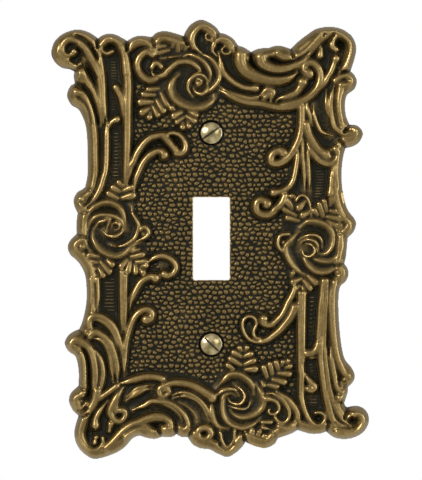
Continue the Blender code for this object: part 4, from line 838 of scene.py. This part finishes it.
    def groove(self, half, depth, points):
        """A soft cut along a curve that fades out at both ends."""
        part, distance, passed, _ = near(smooth_path(points, PATH_STEP), 3 * half)
        fade = ease(8 * passed) * ease(8 * (1 - passed))
        self.height[part] -= depth * fade * np.exp(-(distance / half) ** 2)

    def notches(self):
        """Short grooves that run in from the outline's notches, between its scallops."""
        for row, last in zip(SCALLOPS, SCALLOPS[-1:] + SCALLOPS[:-1]):
            notch = np.array(row[0], float)
            inward = np.zeros(2)
            for neighbour in (row[1], last[-1]):
                out = np.array(neighbour) - notch
                inward -= out / np.linalg.norm(out)
            size = np.linalg.norm(inward)
            inward /= size + 1e-9
            probe = (notch + 1.5 * inward)[None, :]
            if size > 0.5 and sample(np.where(self.inside, self.edge, -1), probe)[0] > 0.6:
                depth = NOTCH_DEPTH * ease((size - 0.4) / 0.7)
                points = [notch + reach * inward for reach in (-1, 1.2, 2.4, 3.6)]
                self.groove(NOTCH_HALF, depth, points)

    def hollow(self, x, z, radius, depth):
        """A soft round dip."""
        part = window((x - 3 * radius, z - 3 * radius), (x + 3 * radius, z + 3 * radius))
        reach = np.hypot(GRID_X[part] - x, GRID_Z[part] - z)
        self.height[part] -= depth * np.exp(-(reach / radius) ** 2)

    def channel(self, left, right, bottom, top, pitch):
        """A sunken strip with small bars across it."""
        part = window((left - 1, bottom - 1), (right + 1, top + 1))
        x, z = GRID_X[part], GRID_Z[part]
        border = np.minimum(np.minimum(x - left, right - x), np.minimum(z - bottom, top - z))
        depth = ease((border + 0.3) / 0.8)
        self.sunk[part] = np.maximum(self.sunk[part], depth)
        bars = np.clip(np.cos(2 * math.pi * z / pitch), -0.4, 1) * ease((border - 0.2) / 0.5)
        floor = (CHANNEL - GROUND) * depth + BAR_HEIGHT * bars
        free = 1 - ease((self.height[part] - self.ground[part] - 0.1) / 0.5)
        self.height[part] += free * floor


def grain():
    """Leather-like cells over the panel: 0 in the grooves between them and 1 on their tops."""
    random = np.random.default_rng(GRAIN_SEED)
    (pitch_x, pitch_z), (half_x, half_z), (jitter_x, jitter_z) = GRAIN_PITCH, GRAIN_HALF, GRAIN_JITTER
    columns, rows = int(2 * half_x / pitch_x), int(2 * half_z / pitch_z)
    shape = (rows, columns)
    seed_x = (np.arange(columns) * pitch_x - half_x)[None, :] + random.uniform(-jitter_x, jitter_x, shape)
    seed_x += pitch_x * 0.5 * (np.arange(rows) % 2)[:, None]
    seed_z = (np.arange(rows) * pitch_z - half_z)[:, None] + random.uniform(-jitter_z, jitter_z, shape)
    seed_top = random.uniform(0.75, 1, shape)
    row = np.clip(np.rint((GRID_Z + half_z) / pitch_z).astype(int), 0, rows - 1)
    column = np.clip(np.rint((GRID_X + half_x) / pitch_x).astype(int), 0, columns - 1)
    first = np.full(GRID_X.shape, 99.0)
    second = np.full(GRID_X.shape, 99.0)
    top = np.ones(GRID_X.shape)
    for up in (-2, -1, 0, 1, 2):
        for over in (-2, -1, 0, 1, 2):
            r = np.clip(row + up, 0, rows - 1)
            c = np.clip(column + over, 0, columns - 1)
            distance = np.hypot(GRID_X - seed_x[r, c], 1.25 * (GRID_Z - seed_z[r, c]))
            closer = distance < first
            second = np.where(closer, first, np.minimum(second, distance))
            top = np.where(closer, seed_top[r, c], top)
            first = np.where(closer, distance, first)
    return top * ease((second - first - 0.08) / 0.7) * ease((1.2 - first) / 0.7)


def make_relief(screw_centres):
    """The whole face, built up in the order in which its parts lie on each other."""
    relief = Relief()
    for x, z, radius, height in SWELLINGS:
        relief.mound((x, z), (x + 0.1, z), radius, height)
    for leaf in LEAVES:
        relief.leaf(*leaf)
    for group in (TOP_LEFT, TOP_RIGHT, MIDDLE_RIGHT, LOWER_RIGHT, LOWER_LEFT, MIDDLE_LEFT):
        for half, ends, points in group:
            relief.rib(half, ends, points)
    for centre, petals in ROSES:
        relief.mound(centre, (centre[0] + 0.1, centre[1]), 6.5, 0.5)
        for outer, inner, points in petals:
            relief.petal(centre, outer, inner, points)
    for box in CHANNELS:
        relief.channel(*box)
    relief.fill()
    relief.notches()
    for groove in GROOVES:
        relief.groove(*groove)
    for hollow in HOLLOWS:
        relief.hollow(*hollow)
    height = blur(relief.height, CREASE_BLUR)
    free = relief.panel * ease((PANEL + 0.5 - height) / 0.4)
    height = height + GRAIN_HEIGHT * free * (grain() - 0.75)
    slot_gap = slot_distance(GRID_X, GRID_Z)
    height -= SLOT_EASE * (1 - ease(slot_gap / 0.5))
    for x, z in screw_centres:
        reach = np.hypot(GRID_X - x, GRID_Z - z)
        cone = PANEL - (SINK_RADIUS - reach) * SINK_DEPTH / (SINK_RADIUS - HOLE_RADIUS)
        sunk = np.minimum(height, np.maximum(cone, PANEL - SINK_DEPTH))
        height = np.where(reach < SINK_RADIUS, sunk, height)
    relief.height = height
    return relief


def slot_distance(x, z):
    """Distance from the toggle opening's edge, more than 0 outside it."""
    over_x = abs(x) - SLOT_WIDTH / 2 + SLOT_CORNER
    over_z = abs(z) - SLOT_HEIGHT / 2 + SLOT_CORNER
    corner = np.hypot(np.maximum(over_x, 0), np.maximum(over_z, 0))
    return corner + np.minimum(np.maximum(over_x, over_z), 0) - SLOT_CORNER


def dilate(field, radius):
    """The highest value within a radius of each place."""
    count = int(radius / STEP)
    found = field.copy()
    rows, columns = field.shape
    padded = np.pad(field, count, constant_values=-9)
    for up in range(-count, count + 1):
        for over in range(-count, count + 1):
            if up * up + over * over <= count * count:
                shifted = padded[count + up:count + up + rows, count + over:count + over + columns]
                np.maximum(found, shifted, out=found)
    return found


def rub_and_painted_light(relief, screw_centres):
    """How bright each place is rubbed: 1 on what stands proud of its surroundings, 0 in recesses, with a
    painted highlight on the crests and painted shade on the petals' inner slopes and in the countersinks.
    """
    height = np.where(relief.inside, relief.height, OUTSIDE_LEVEL)
    roof = -dilate(-dilate(height, RECESS_REACH), RECESS_REACH)
    sunk = blur(roof - height, 0.15)
    small = height - blur(height, 0.55)

    # The moulded border is bright where it stands over the ground and isn't in a recess.
    above = ease((height - relief.ground - 0.05) / 1.3)
    above = np.maximum(above, 1 - ease((relief.edge - RIM_ROUND) / 0.8))
    border = above * (1 - 0.85 * ease((sunk - 0.35) / 1.3)) * (1 - 0.8 * ease((-small - 0.03) / 0.2))

    # The panel is bright on the tops of its grain, and the border's crests are the brightest: partly their
    # polish, partly a painted highlight.
    panel = ease((small - 0.005) / 0.13)
    share = relief.panel * ease((PANEL + 0.6 - height) / 0.3)
    rub_and_light = border * (1 - share) + panel * share * 0.84
    # Crests get a painted highlight line on top of their polish.
    crest = ease((height - blur(height, 0.6) - 0.12) / 0.4)
    rub_and_light *= 0.67 + 0.33 * crest * (1 - share)

    # The channels' bars, the inner slopes of the petals, darkened by patina together with painted shade,
    # and the plump lobes of the leaves.
    rub_and_light = np.maximum(rub_and_light, 0.7 * relief.sunk * ease((small - 0.02) / 0.1))
    rub_and_light *= 1 - 0.68 * relief.shade
    pads = relief.lobes * ease((height - relief.ground - 0.35) / 0.35) * ease((1.1 - sunk) / 0.4)
    rub_and_light = np.maximum(rub_and_light, 0.74 * pads * ease((small + 0.25) / 0.14))
    # The countersinks get a painted shade, darker than any patina, round the screw heads.
    for x, z in screw_centres:
        reach = np.hypot(GRID_X - x, GRID_Z - z)
        rub_and_light = np.where(reach < SINK_RADIUS + 0.1, RUB_AND_SHADE_IN_SINK, rub_and_light)
    slot_gap = slot_distance(GRID_X, GRID_Z)
    return np.where(abs(slot_gap) < 0.22, RUB_ROUND_SLOT, rub_and_light)


def marched(field):
    """The part of the grid where the field is above 0, as points, faces and border edges."""
    rows, columns = field.shape
    solid = field > 0
    index = np.full(field.shape, -1)
    count = int(solid.sum())
    index[solid] = np.arange(count)
    points = [np.column_stack((GRID_X[solid], GRID_Z[solid]))]
    whole = solid[:-1, :-1] & solid[1:, :-1] & solid[:-1, 1:] & solid[1:, 1:]
    r, c = np.nonzero(whole)
    faces = np.column_stack((index[r, c], index[r, c + 1], index[r + 1, c + 1],
                             index[r + 1, c])).tolist()
    partly = (solid[:-1, :-1] | solid[1:, :-1] | solid[:-1, 1:] | solid[1:, 1:]) & ~whole
    crossings = {}
    added = []
    borders = []

    def crossing(a, b):
        key = (a, b) if a < b else (b, a)
        if key not in crossings:
            inner, outer = (a, b) if solid[a] else (b, a)
            t = field[inner] / (field[inner] - field[outer])
            t = np.clip(t, LEAST_SHARE, 1 - LEAST_SHARE)
            crossings[key] = count + len(added)
            added.append((GRID_X[inner] + t * (GRID_X[outer] - GRID_X[inner]),
                          GRID_Z[inner] + t * (GRID_Z[outer] - GRID_Z[inner])))
        return crossings[key]

    for r, c in zip(*np.nonzero(partly)):
        corners = [(r, c), (r, c + 1), (r + 1, c + 1), (r + 1, c)]
        loops = [[]]
        for a, b in zip(corners, corners[1:] + corners[:1]):
            if solid[a]:
                loops[-1].append(int(index[a]))
            if solid[a] != solid[b]:
                loops[-1].append(crossing(a, b))
                if solid[a]:
                    loops.append([])
        if len(loops) > 1:
            loops[0] = loops.pop() + loops[0]
        for loop in loops:
            if len(loop) > 2:
                faces.append(loop)
        for loop in loops:
            ends = [v for v in loop if v >= count]
            if len(ends) == 2:
                first = loop.index(ends[0])
                order = ends if loop[(first + 1) % len(loop)] == ends[1] else ends[::-1]
                borders.append(tuple(order))
    points.append(np.array(added))
    return np.vstack(points), faces, borders, count


def side_ring(path, width):
    """Points beside a closed path, at a distance on its inner side."""
    along = np.gradient(path[:-1], axis=0)
    along /= np.linalg.norm(along, axis=1)[:, None] + 1e-9
    normal = np.column_stack((along[:, 1], -along[:, 0]))
    return path[:-1] + width * normal


def sample(field, points):
    """The field's value at points of the plane, between the grid's places."""
    column = np.clip((points[:, 0] - AXIS_X[0]) / STEP, 0, len(AXIS_X) - 1.001)
    row = np.clip((points[:, 1] - AXIS_Z[0]) / STEP, 0, len(AXIS_Z) - 1.001)
    c, r = column.astype(int), row.astype(int)
    u, v = column - c, row - r
    low = field[r, c] * (1 - u) + field[r, c + 1] * u
    high = field[r + 1, c] * (1 - u) + field[r + 1, c + 1] * u
    return low * (1 - v) + high * v


def make_plate(screw_centres, material):
    """The whole casting as one closed mesh: the face, the sides of its openings and outline, and the
    hollow back. A value on each point says how bright its brass is rubbed, with painted highlight and
    painted shade mixed in."""
    relief = make_relief(screw_centres)
    # The rubbed finish, with painted highlight on the crests and painted shade in petals and countersinks.
    rub_and_light = rub_and_painted_light(relief, screw_centres)
    signed = np.where(relief.inside, relief.edge, -relief.edge)
    signed = np.minimum(signed, slot_distance(GRID_X, GRID_Z))
    for x, z in screw_centres:
        signed = np.minimum(signed, np.hypot(GRID_X - x, GRID_Z - z) - HOLE_RADIUS)
    flat, faces, borders, count = marched(signed)
    height = np.concatenate((relief.height[signed > 0], sample(relief.height, flat[count:])))
    rubs_and_light = np.concatenate((rub_and_light[signed > 0], sample(rub_and_light, flat[count:])))

    # The rim: the points on the borders of the face, which the sides take to the back.
    rim = flat[count:]
    gap = slot_distance(rim[:, 0], rim[:, 1])
    hole = np.min([np.hypot(rim[:, 0] - x, rim[:, 1] - z) for x, z in screw_centres], axis=0)
    on_slot = abs(gap) < 0.1
    on_hole = hole < HOLE_RADIUS + 0.3
    on_outline = ~(on_slot | on_hole)
    height[count:][on_outline] = LIP
    rubs_and_light[count:][on_outline] = RUB_AT_EDGE
    rear = np.where(on_slot, CAVITY_FLOOR, np.where(on_hole, BOSS_FLOOR, 0))

    edges = [(a - count, b - count) for a, b in borders]
    back_points, back_faces, back_heights = make_back(relief, rim, edges, screw_centres)
    rim_start = len(flat)
    all_points = np.vstack((flat, rim, back_points))
    depth = np.concatenate((height, rear, back_heights))
    side_rubs, back_rubs = np.full(len(rim), RUB_ON_SIDES), np.full(len(back_points), RUB_ON_BACK)
    rubs_and_light = np.concatenate((rubs_and_light, side_rubs, back_rubs))
    for a, b in borders:
        faces.append((b, a, rim_start + a - count, rim_start + b - count))
    faces += [tuple(rim_start + v for v in face) for face in back_faces]

    vertices = np.column_stack((all_points[:, 0], -depth, all_points[:, 1])) * MM
    mesh = bpy.data.meshes.new("plate_casting")
    mesh.from_pydata(vertices.tolist(), [], faces)
    attribute = mesh.attributes.new("rub_and_light", "FLOAT", "POINT")
    attribute.data.foreach_set("value", rubs_and_light.astype(np.float32))
    mesh.materials.append(material)
    mesh.validate()
    mesh.shade_smooth()
    mesh.set_sharp_from_angle(angle=PLATE_SHARP)
    plate = bpy.data.objects.new("plate_casting", mesh)
    bpy.context.scene.collection.objects.link(plate)
    return plate


def make_back(relief, rim, edges, screw_centres):
    """The hollow back: a flat seat along the edge, a drafted wall, a floor and two bosses, as its
    own points, its faces and the points' heights. The faces count the rim's points first."""
    candidates = []
    for inset in (WALL_SEAT, WALL_SEAT + WALL_DRAFT, WALL_SEAT + WALL_DRAFT + 0.5):
        ring = side_ring(relief.outline, inset)
        candidates += ring[abs(sample(relief.edge, ring) - inset) < 0.06].tolist()
    for x, z in screw_centres:
        for radius in (BOSS_RADIUS - 0.3, BOSS_RADIUS):
            for turn in np.arange(BOSS_SIDES) * math.pi / (BOSS_SIDES / 2):
                candidates.append((x + radius * math.cos(turn), z + radius * math.sin(turn)))
    for x in np.arange(-45, 45.1, BACK_PITCH):
        for z in np.arange(-62.5, 62.6, BACK_PITCH):
            candidates.append((x, z))
    spots = np.array(candidates)
    clear = sample(np.where(relief.inside, relief.edge, -relief.edge), spots) > 1.2
    clear &= slot_distance(spots[:, 0], spots[:, 1]) > 0.8
    clear &= np.min([np.hypot(spots[:, 0] - x, spots[:, 1] - z) for x, z in screw_centres],
                    axis=0) > HOLE_RADIUS + 0.5
    spots = thinned(spots[clear], BACK_SPACING)
    plane = [Vector(p) for p in np.vstack((rim, spots)).tolist()]
    made, _, triangles, *_ = delaunay_2d_cdt(plane, edges, [], 2, 1e-7)
    borders = {frozenset(edge) for edge in edges}
    triangles = outside_openings(np.array(made), triangles, borders, screw_centres)
    own = np.array([tuple(p) for p in made[len(rim):]])
    past_seat = sample(relief.edge, own) - WALL_SEAT - 0.05
    heights = CAVITY_FLOOR * np.clip(past_seat / WALL_DRAFT, 0, 1)
    for x, z in screw_centres:
        reach = np.hypot(own[:, 0] - x, own[:, 1] - z)
        heights = np.minimum(heights, np.where(reach < BOSS_RADIUS - 0.1, BOSS_FLOOR, CAVITY_FLOOR))
    return own, [tuple(t[::-1]) for t in triangles], heights


def outside_openings(points, triangles, borders, screw_centres):
    """The triangles that can't be reached from inside an opening without crossing a border."""
    sides = [[frozenset(pair) for pair in zip(t, t[1:] + t[:1])] for t in triangles]
    beside = {}
    for index, pairs in enumerate(sides):
        for pair in pairs:
            beside.setdefault(pair, []).append(index)
    middles = points[np.array(triangles)].mean(axis=1)
    inside = slot_distance(middles[:, 0], middles[:, 1]) < -1
    for x, z in screw_centres:
        inside |= np.hypot(middles[:, 0] - x, middles[:, 1] - z) < HOLE_RADIUS / 2
    pending = np.flatnonzero(inside).tolist()
    gone = set(pending)
    while pending:
        for pair in sides[pending.pop()]:
            beyond = () if pair in borders else beside[pair]
            fresh = [other for other in beyond if other not in gone]
            gone.update(fresh)
            pending += fresh
    return [t for index, t in enumerate(triangles) if index not in gone]


def thinned(points, spacing):
    """The points that keep their distance from those chosen before them."""
    cells = {}
    chosen = []
    for x, z in points.tolist():
        column, row = int(x // spacing), int(z // spacing)
        close = [p for dc in (-1, 0, 1) for dr in (-1, 0, 1)
                 for p in cells.get((column + dc, row + dr), ())]
        if all(math.dist((x, z), p) >= spacing for p in close):
            cells.setdefault((column, row), []).append((x, z))
            chosen.append((x, z))
    return np.array(chosen)


def new_material(name):
    material = bpy.data.materials.new(name)
    material.use_nodes = True
    tree = material.node_tree
    return material, tree, tree.nodes["Principled BSDF"]


def node(tree, kind, inputs=(), **settings):
    """A shader node with its settings, and its inputs linked or given values."""
    made = tree.nodes.new("ShaderNode" + kind)
    for name, value in settings.items():
        setattr(made, name, value)
    for socket, value in dict(inputs).items():
        if isinstance(value, bpy.types.NodeSocket):
            tree.links.new(value, made.inputs[socket])
        else:
            made.inputs[socket].default_value = value
    return made


def span(tree, value, low, high, to_low, to_high):
    """The value, rescaled from one range to another and kept inside it."""
    return node(tree, "MapRange", {"Value": value, "From Min": low, "From Max": high,
                                   "To Min": to_low, "To Max": to_high}).outputs["Result"]


def math_of(tree, operation, first, second):
    return node(tree, "Math", {0: first, 1: second}, operation=operation).outputs[0]


def mix_colour(tree, share, first, second):
    made = node(tree, "Mix", {0: share, 6: first, 7: second}, data_type="RGBA")
    return made.outputs[2]


def antique_brass():
    """Brass under a dark patina that is rubbed through on the high places, with a painted highlight on
    the crests and painted shade in the countersinks and on the petals' inner slopes.
    """
    material, tree, shader = new_material("antique_brass_casting")
    place = node(tree, "TexCoord").outputs["Object"]
    # The rubbed finish from the mesh, with painted highlight and painted shade in it.
    rub_and_light = node(tree, "Attribute", attribute_name="rub_and_light").outputs["Fac"]
    cloud = node(tree, "TexNoise", {"Vector": place, "Scale": 160, "Detail": 4}).outputs["Fac"]
    speck = node(tree, "TexNoise", {"Vector": place, "Scale": 1500, "Detail": 3}).outputs["Fac"]
    uneven = math_of(tree, "ADD", span(tree, cloud, 0.3, 0.7, -0.09, 0.09),
                     span(tree, speck, 0.3, 0.7, -0.08, 0.08))
    share = math_of(tree, "ADD", rub_and_light, uneven)
    bare = span(tree, share, 0.04, 0.92, 0, 1)
    # Pale brass on the crests, partly polish and partly a painted highlight.
    brass_and_highlight = mix_colour(tree, span(tree, share, 0.6, 1, 0, 1), BRASS, CREST_BRASS_AND_HIGHLIGHT)
    # Patina, darkest where the countersinks hold a painted shade.
    patina = mix_colour(tree, span(tree, rub_and_light, -0.4, -0.1, 0, 1), SINK_PATINA_AND_SHADE, PATINA)
    colour = mix_colour(tree, bare, patina, brass_and_highlight)
    tree.links.new(colour, shader.inputs["Base Color"])
    tree.links.new(span(tree, bare, 0, 0.7, 0, 1), shader.inputs["Metallic"])
    rough = math_of(tree, "ADD", span(tree, bare, 0, 1, 0.42, 0.27),
                    span(tree, speck, 0.3, 0.7, -0.04, 0.05))
    tree.links.new(rough, shader.inputs["Roughness"])
    shader.inputs["Specular IOR Level"].default_value = 0.13
    bump = node(tree, "Bump", {"Height": speck, "Strength": 0.25, "Distance": 0.00006})
    tree.links.new(bump.outputs["Normal"], shader.inputs["Normal"])
    return material


def polished_brass():
    """Pale machined brass with faint specks, patches of tarnish that also paint dark reflections on the
    heads, and old patina with painted shade in the driver slot and under the head.
    """
    material, tree, shader = new_material("polished_brass_screw")
    place = node(tree, "TexCoord").outputs["Object"]
    speck = node(tree, "TexNoise", {"Vector": place, "Scale": 900, "Detail": 4}).outputs["Fac"]
    # Low patches of tarnish, also a painted dark reflection on the domed heads.
    tarnish_and_reflection = node(tree, "TexNoise", {"Vector": place, "Scale": 320, "Detail": 2}).outputs["Fac"]
    # Old patina and painted shade in the driver slot and under the head.
    dirt_and_shade = node(tree, "Attribute", attribute_name="dirt_and_shade").outputs["Fac"]
    metal = mix_colour(tree, span(tree, tarnish_and_reflection, 0.44, 0.62, 0, 1), SCREW_BRASS, SCREW_TARNISH_AND_REFLECTION)
    colour = mix_colour(tree, span(tree, dirt_and_shade, 0, 1, 0, 0.93), metal, SCREW_DIRT_AND_SHADE)
    tree.links.new(colour, shader.inputs["Base Color"])
    tree.links.new(span(tree, dirt_and_shade, 0, 1, 1, 0.3), shader.inputs["Metallic"])
    tree.links.new(span(tree, speck, 0.3, 0.7, 0.14, 0.26), shader.inputs["Roughness"])
    bump = node(tree, "Bump", {"Height": speck, "Strength": 0.2, "Distance": 0.00004})
    tree.links.new(bump.outputs["Normal"], shader.inputs["Normal"])
    return material


def screw_profile():
    """The screw's turned outline from its tip to the top of the dome: distance behind the edge of
    the head, and radius."""
    neck = HEAD_EDGE + (HEAD_RADIUS - SHANK_RADIUS) / math.tan(HEAD_SLOPE)
    rows = [(SCREW_LENGTH, 0.4), (SCREW_LENGTH, ROOT_RADIUS - 0.25)]
    at = SCREW_LENGTH - 0.4
    while at > neck + 1.4 + THREAD_PITCH:
        rows += [(at, ROOT_RADIUS), (at - 0.4 * THREAD_PITCH, SHANK_RADIUS - 0.03),
                 (at - 0.55 * THREAD_PITCH, SHANK_RADIUS - 0.03)]
        at -= THREAD_PITCH
    rows += [(at, ROOT_RADIUS), (neck + 1.1, SHANK_RADIUS), (neck, SHANK_RADIUS)]
    rows += [(HEAD_EDGE, HEAD_RADIUS - 0.03), (HEAD_EDGE - 0.05, HEAD_RADIUS), (0.03, HEAD_RADIUS)]
    bend = (HEAD_RADIUS ** 2 + HEAD_DOME ** 2) / (2 * HEAD_DOME)
    for share in (0.985, 0.95, 0.9, 0.8, 0.7, 0.6, 0.5, 0.4, 0.3, 0.2, 0.1):
        radius = share * HEAD_RADIUS
        rows.append((bend - HEAD_DOME - math.sqrt(bend ** 2 - radius ** 2), radius))
    return rows


def lathed(name, rows, steps, top):
    """A closed turned body about the Y axis, its first row at the back."""
    turn = np.arange(steps) * 2 * math.pi / steps
    points = [(r * math.cos(a), at, r * math.sin(a)) for at, r in rows for a in turn]
    points += [(0, rows[0][0], 0), (0, top, 0)]
    faces = []
    for row in range(len(rows) - 1):
        for i in range(steps):
            a, b = row * steps + i, row * steps + (i + 1) % steps
            faces.append((a, b, b + steps, a + steps))
    last = (len(rows) - 1) * steps
    for i in range(steps):
        faces.append((len(points) - 2, (i + 1) % steps, i))
        faces.append((last + i, last + (i + 1) % steps, len(points) - 1))
    mesh = bpy.data.meshes.new(name)
    mesh.from_pydata((np.array(points) * MM).tolist(), [], faces)
    made = bpy.data.objects.new(name, mesh)
    bpy.context.scene.collection.objects.link(made)
    return made


def mark_dirt_and_shade(mesh, slot_angle):
    """Old patina and painted shade in the driver slot and under the head, as a value at each face's
    corners.
    """
    across = (-math.sin(math.radians(slot_angle)), math.cos(math.radians(slot_angle)))
    values = []
    for face in mesh.polygons:
        points = [mesh.vertices[v].co / MM for v in face.vertices]
        offset = max(abs(p.x * across[0] + p.z * across[1]) for p in points)
        shallow = min(p.y for p in points) < 0 and max(p.y for p in points) < 0.01
        in_slot = shallow and offset < DRIVER_SLOT_WIDTH / 2 + 0.01
        under = min(p.y for p in points) >= 0
        values += [1.0 if in_slot else 0.5 if under else 0.0] * len(points)
    attribute = mesh.attributes.new("dirt_and_shade", "FLOAT", "CORNER")
    attribute.data.foreach_set("value", values)


def make_screw(body, slot_angle, material):
    """A finely turned oval-head screw on the axis of its body, with the driver slot cut in."""
    low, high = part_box(body)
    screw = lathed(body + "_turned", screw_profile(), SCREW_SIDES, -HEAD_DOME)
    half, bottom = 2 * HEAD_RADIUS, DRIVER_SLOT_DEPTH - HEAD_DOME
    corners = [(x, y, z) for x in (-half, half) for y in (bottom - 3, bottom)
               for z in (-DRIVER_SLOT_WIDTH / 2, DRIVER_SLOT_WIDTH / 2)]
    faces = ((0, 1, 3, 2), (4, 6, 7, 5), (0, 4, 5, 1), (2, 3, 7, 6), (0, 2, 6, 4), (1, 5, 7, 3))
    block_mesh = bpy.data.meshes.new("slot_block")
    block_mesh.from_pydata((np.array(corners) * MM).tolist(), [], faces)
    block = bpy.data.objects.new("slot_block", block_mesh)
    bpy.context.scene.collection.objects.link(block)
    block.rotation_euler = (0, -math.radians(slot_angle), 0)
    cut = screw.modifiers.new("slot", "BOOLEAN")
    cut.object = block
    bpy.context.view_layer.update()
    graph = bpy.context.evaluated_depsgraph_get()
    mesh = bpy.data.meshes.new_from_object(screw.evaluated_get(graph))
    screw.modifiers.clear()
    screw.data = mesh
    bpy.data.objects.remove(block)
    mesh.materials.clear()
    mesh.materials.append(material)
    mark_dirt_and_shade(mesh, slot_angle)
    mesh.shade_smooth()
    mesh.set_sharp_from_angle(angle=SCREW_SHARP)
    screw.location = ((low[0] + high[0]) / 2, low[1] + HEAD_DOME * MM, (low[2] + high[2]) / 2)
    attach(screw, body)
    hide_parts(body)


def area_light(name, place, size, power, colour):
    """A rectangular light that faces the plate's middle."""
    data = bpy.data.lights.new(name, "AREA")
    data.shape = "RECTANGLE"
    data.size, data.size_y = size
    data.energy = power
    data.color = colour
    light = bpy.data.objects.new(name, data)
    light.location = place
    light.rotation_euler = (-Vector(place)).to_track_quat("-Z", "Y").to_euler()
    bpy.context.scene.collection.objects.link(light)


def make_world():
    """White where the camera looks, and a room that is paler behind the camera for everything else."""
    world = bpy.data.worlds.new("studio")
    world.use_nodes = True
    tree = world.node_tree
    seen = node(tree, "LightPath").outputs["Is Camera Ray"]
    way = node(tree, "TexCoord").outputs["Generated"]
    ahead = node(tree, "SeparateXYZ", {"Vector": way}).outputs["Y"]
    room = mix_colour(tree, span(tree, ahead, -1, 0, 0, 1), ROOM_BEHIND, ROOM_AHEAD)
    shown = mix_colour(tree, seen, room, (1, 1, 1, 1))
    tree.links.new(shown, tree.nodes["Background"].inputs["Color"])
    bpy.context.scene.world = world


def make_floor():
    data = bpy.data.meshes.new("floor")
    signs = ((-1, -1), (1, -1), (1, 1), (-1, 1))
    corners = [(x * FLOOR_HALF, y * FLOOR_HALF, FLOOR_LEVEL) for x, y in signs]
    data.from_pydata(corners, [], [(0, 1, 2, 3)])
    material, _, shader = new_material("floor_paint")
    shader.inputs["Base Color"].default_value = FLOOR_PAINT
    shader.inputs["Roughness"].default_value = 0.7
    data.materials.append(material)
    floor = bpy.data.objects.new("floor", data)
    bpy.context.scene.collection.objects.link(floor)


def make_camera():
    """Straight on to the plate, from far enough away that its sides don't show."""
    data = bpy.data.cameras.new("camera")
    data.lens = data.sensor_width * (CAMERA_DISTANCE - PANEL * MM) / HEIGHT_SEEN
    camera = bpy.data.objects.new("camera", data)
    camera.location = (AIM[0], -CAMERA_DISTANCE, AIM[1])
    camera.rotation_euler = (math.pi / 2, 0, 0)
    data.clip_start = 0.01
    bpy.context.scene.collection.objects.link(camera)
    bpy.context.scene.camera = camera


def screw_centre(name):
    """The middle of a screw's box, across the plate and up it, in millimetres."""
    low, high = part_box(name)
    middle = (low + high) / 2
    return middle[0] / MM, middle[2] / MM


def main():
    bpy.context.scene.view_settings.view_transform = "Standard"
    centres = [screw_centre(name) for name in ("upper_screw", "lower_screw")]
    plate = make_plate(centres, antique_brass())
    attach(plate, "plate")
    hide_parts("plate")
    screw_brass = polished_brass()
    make_screw("upper_screw", UPPER_SLOT_ANGLE, screw_brass)
    make_screw("lower_screw", LOWER_SLOT_ANGLE, screw_brass)
    make_world()
    make_floor()
    make_camera()
    for light in LIGHTS:
        area_light(*light)


main()
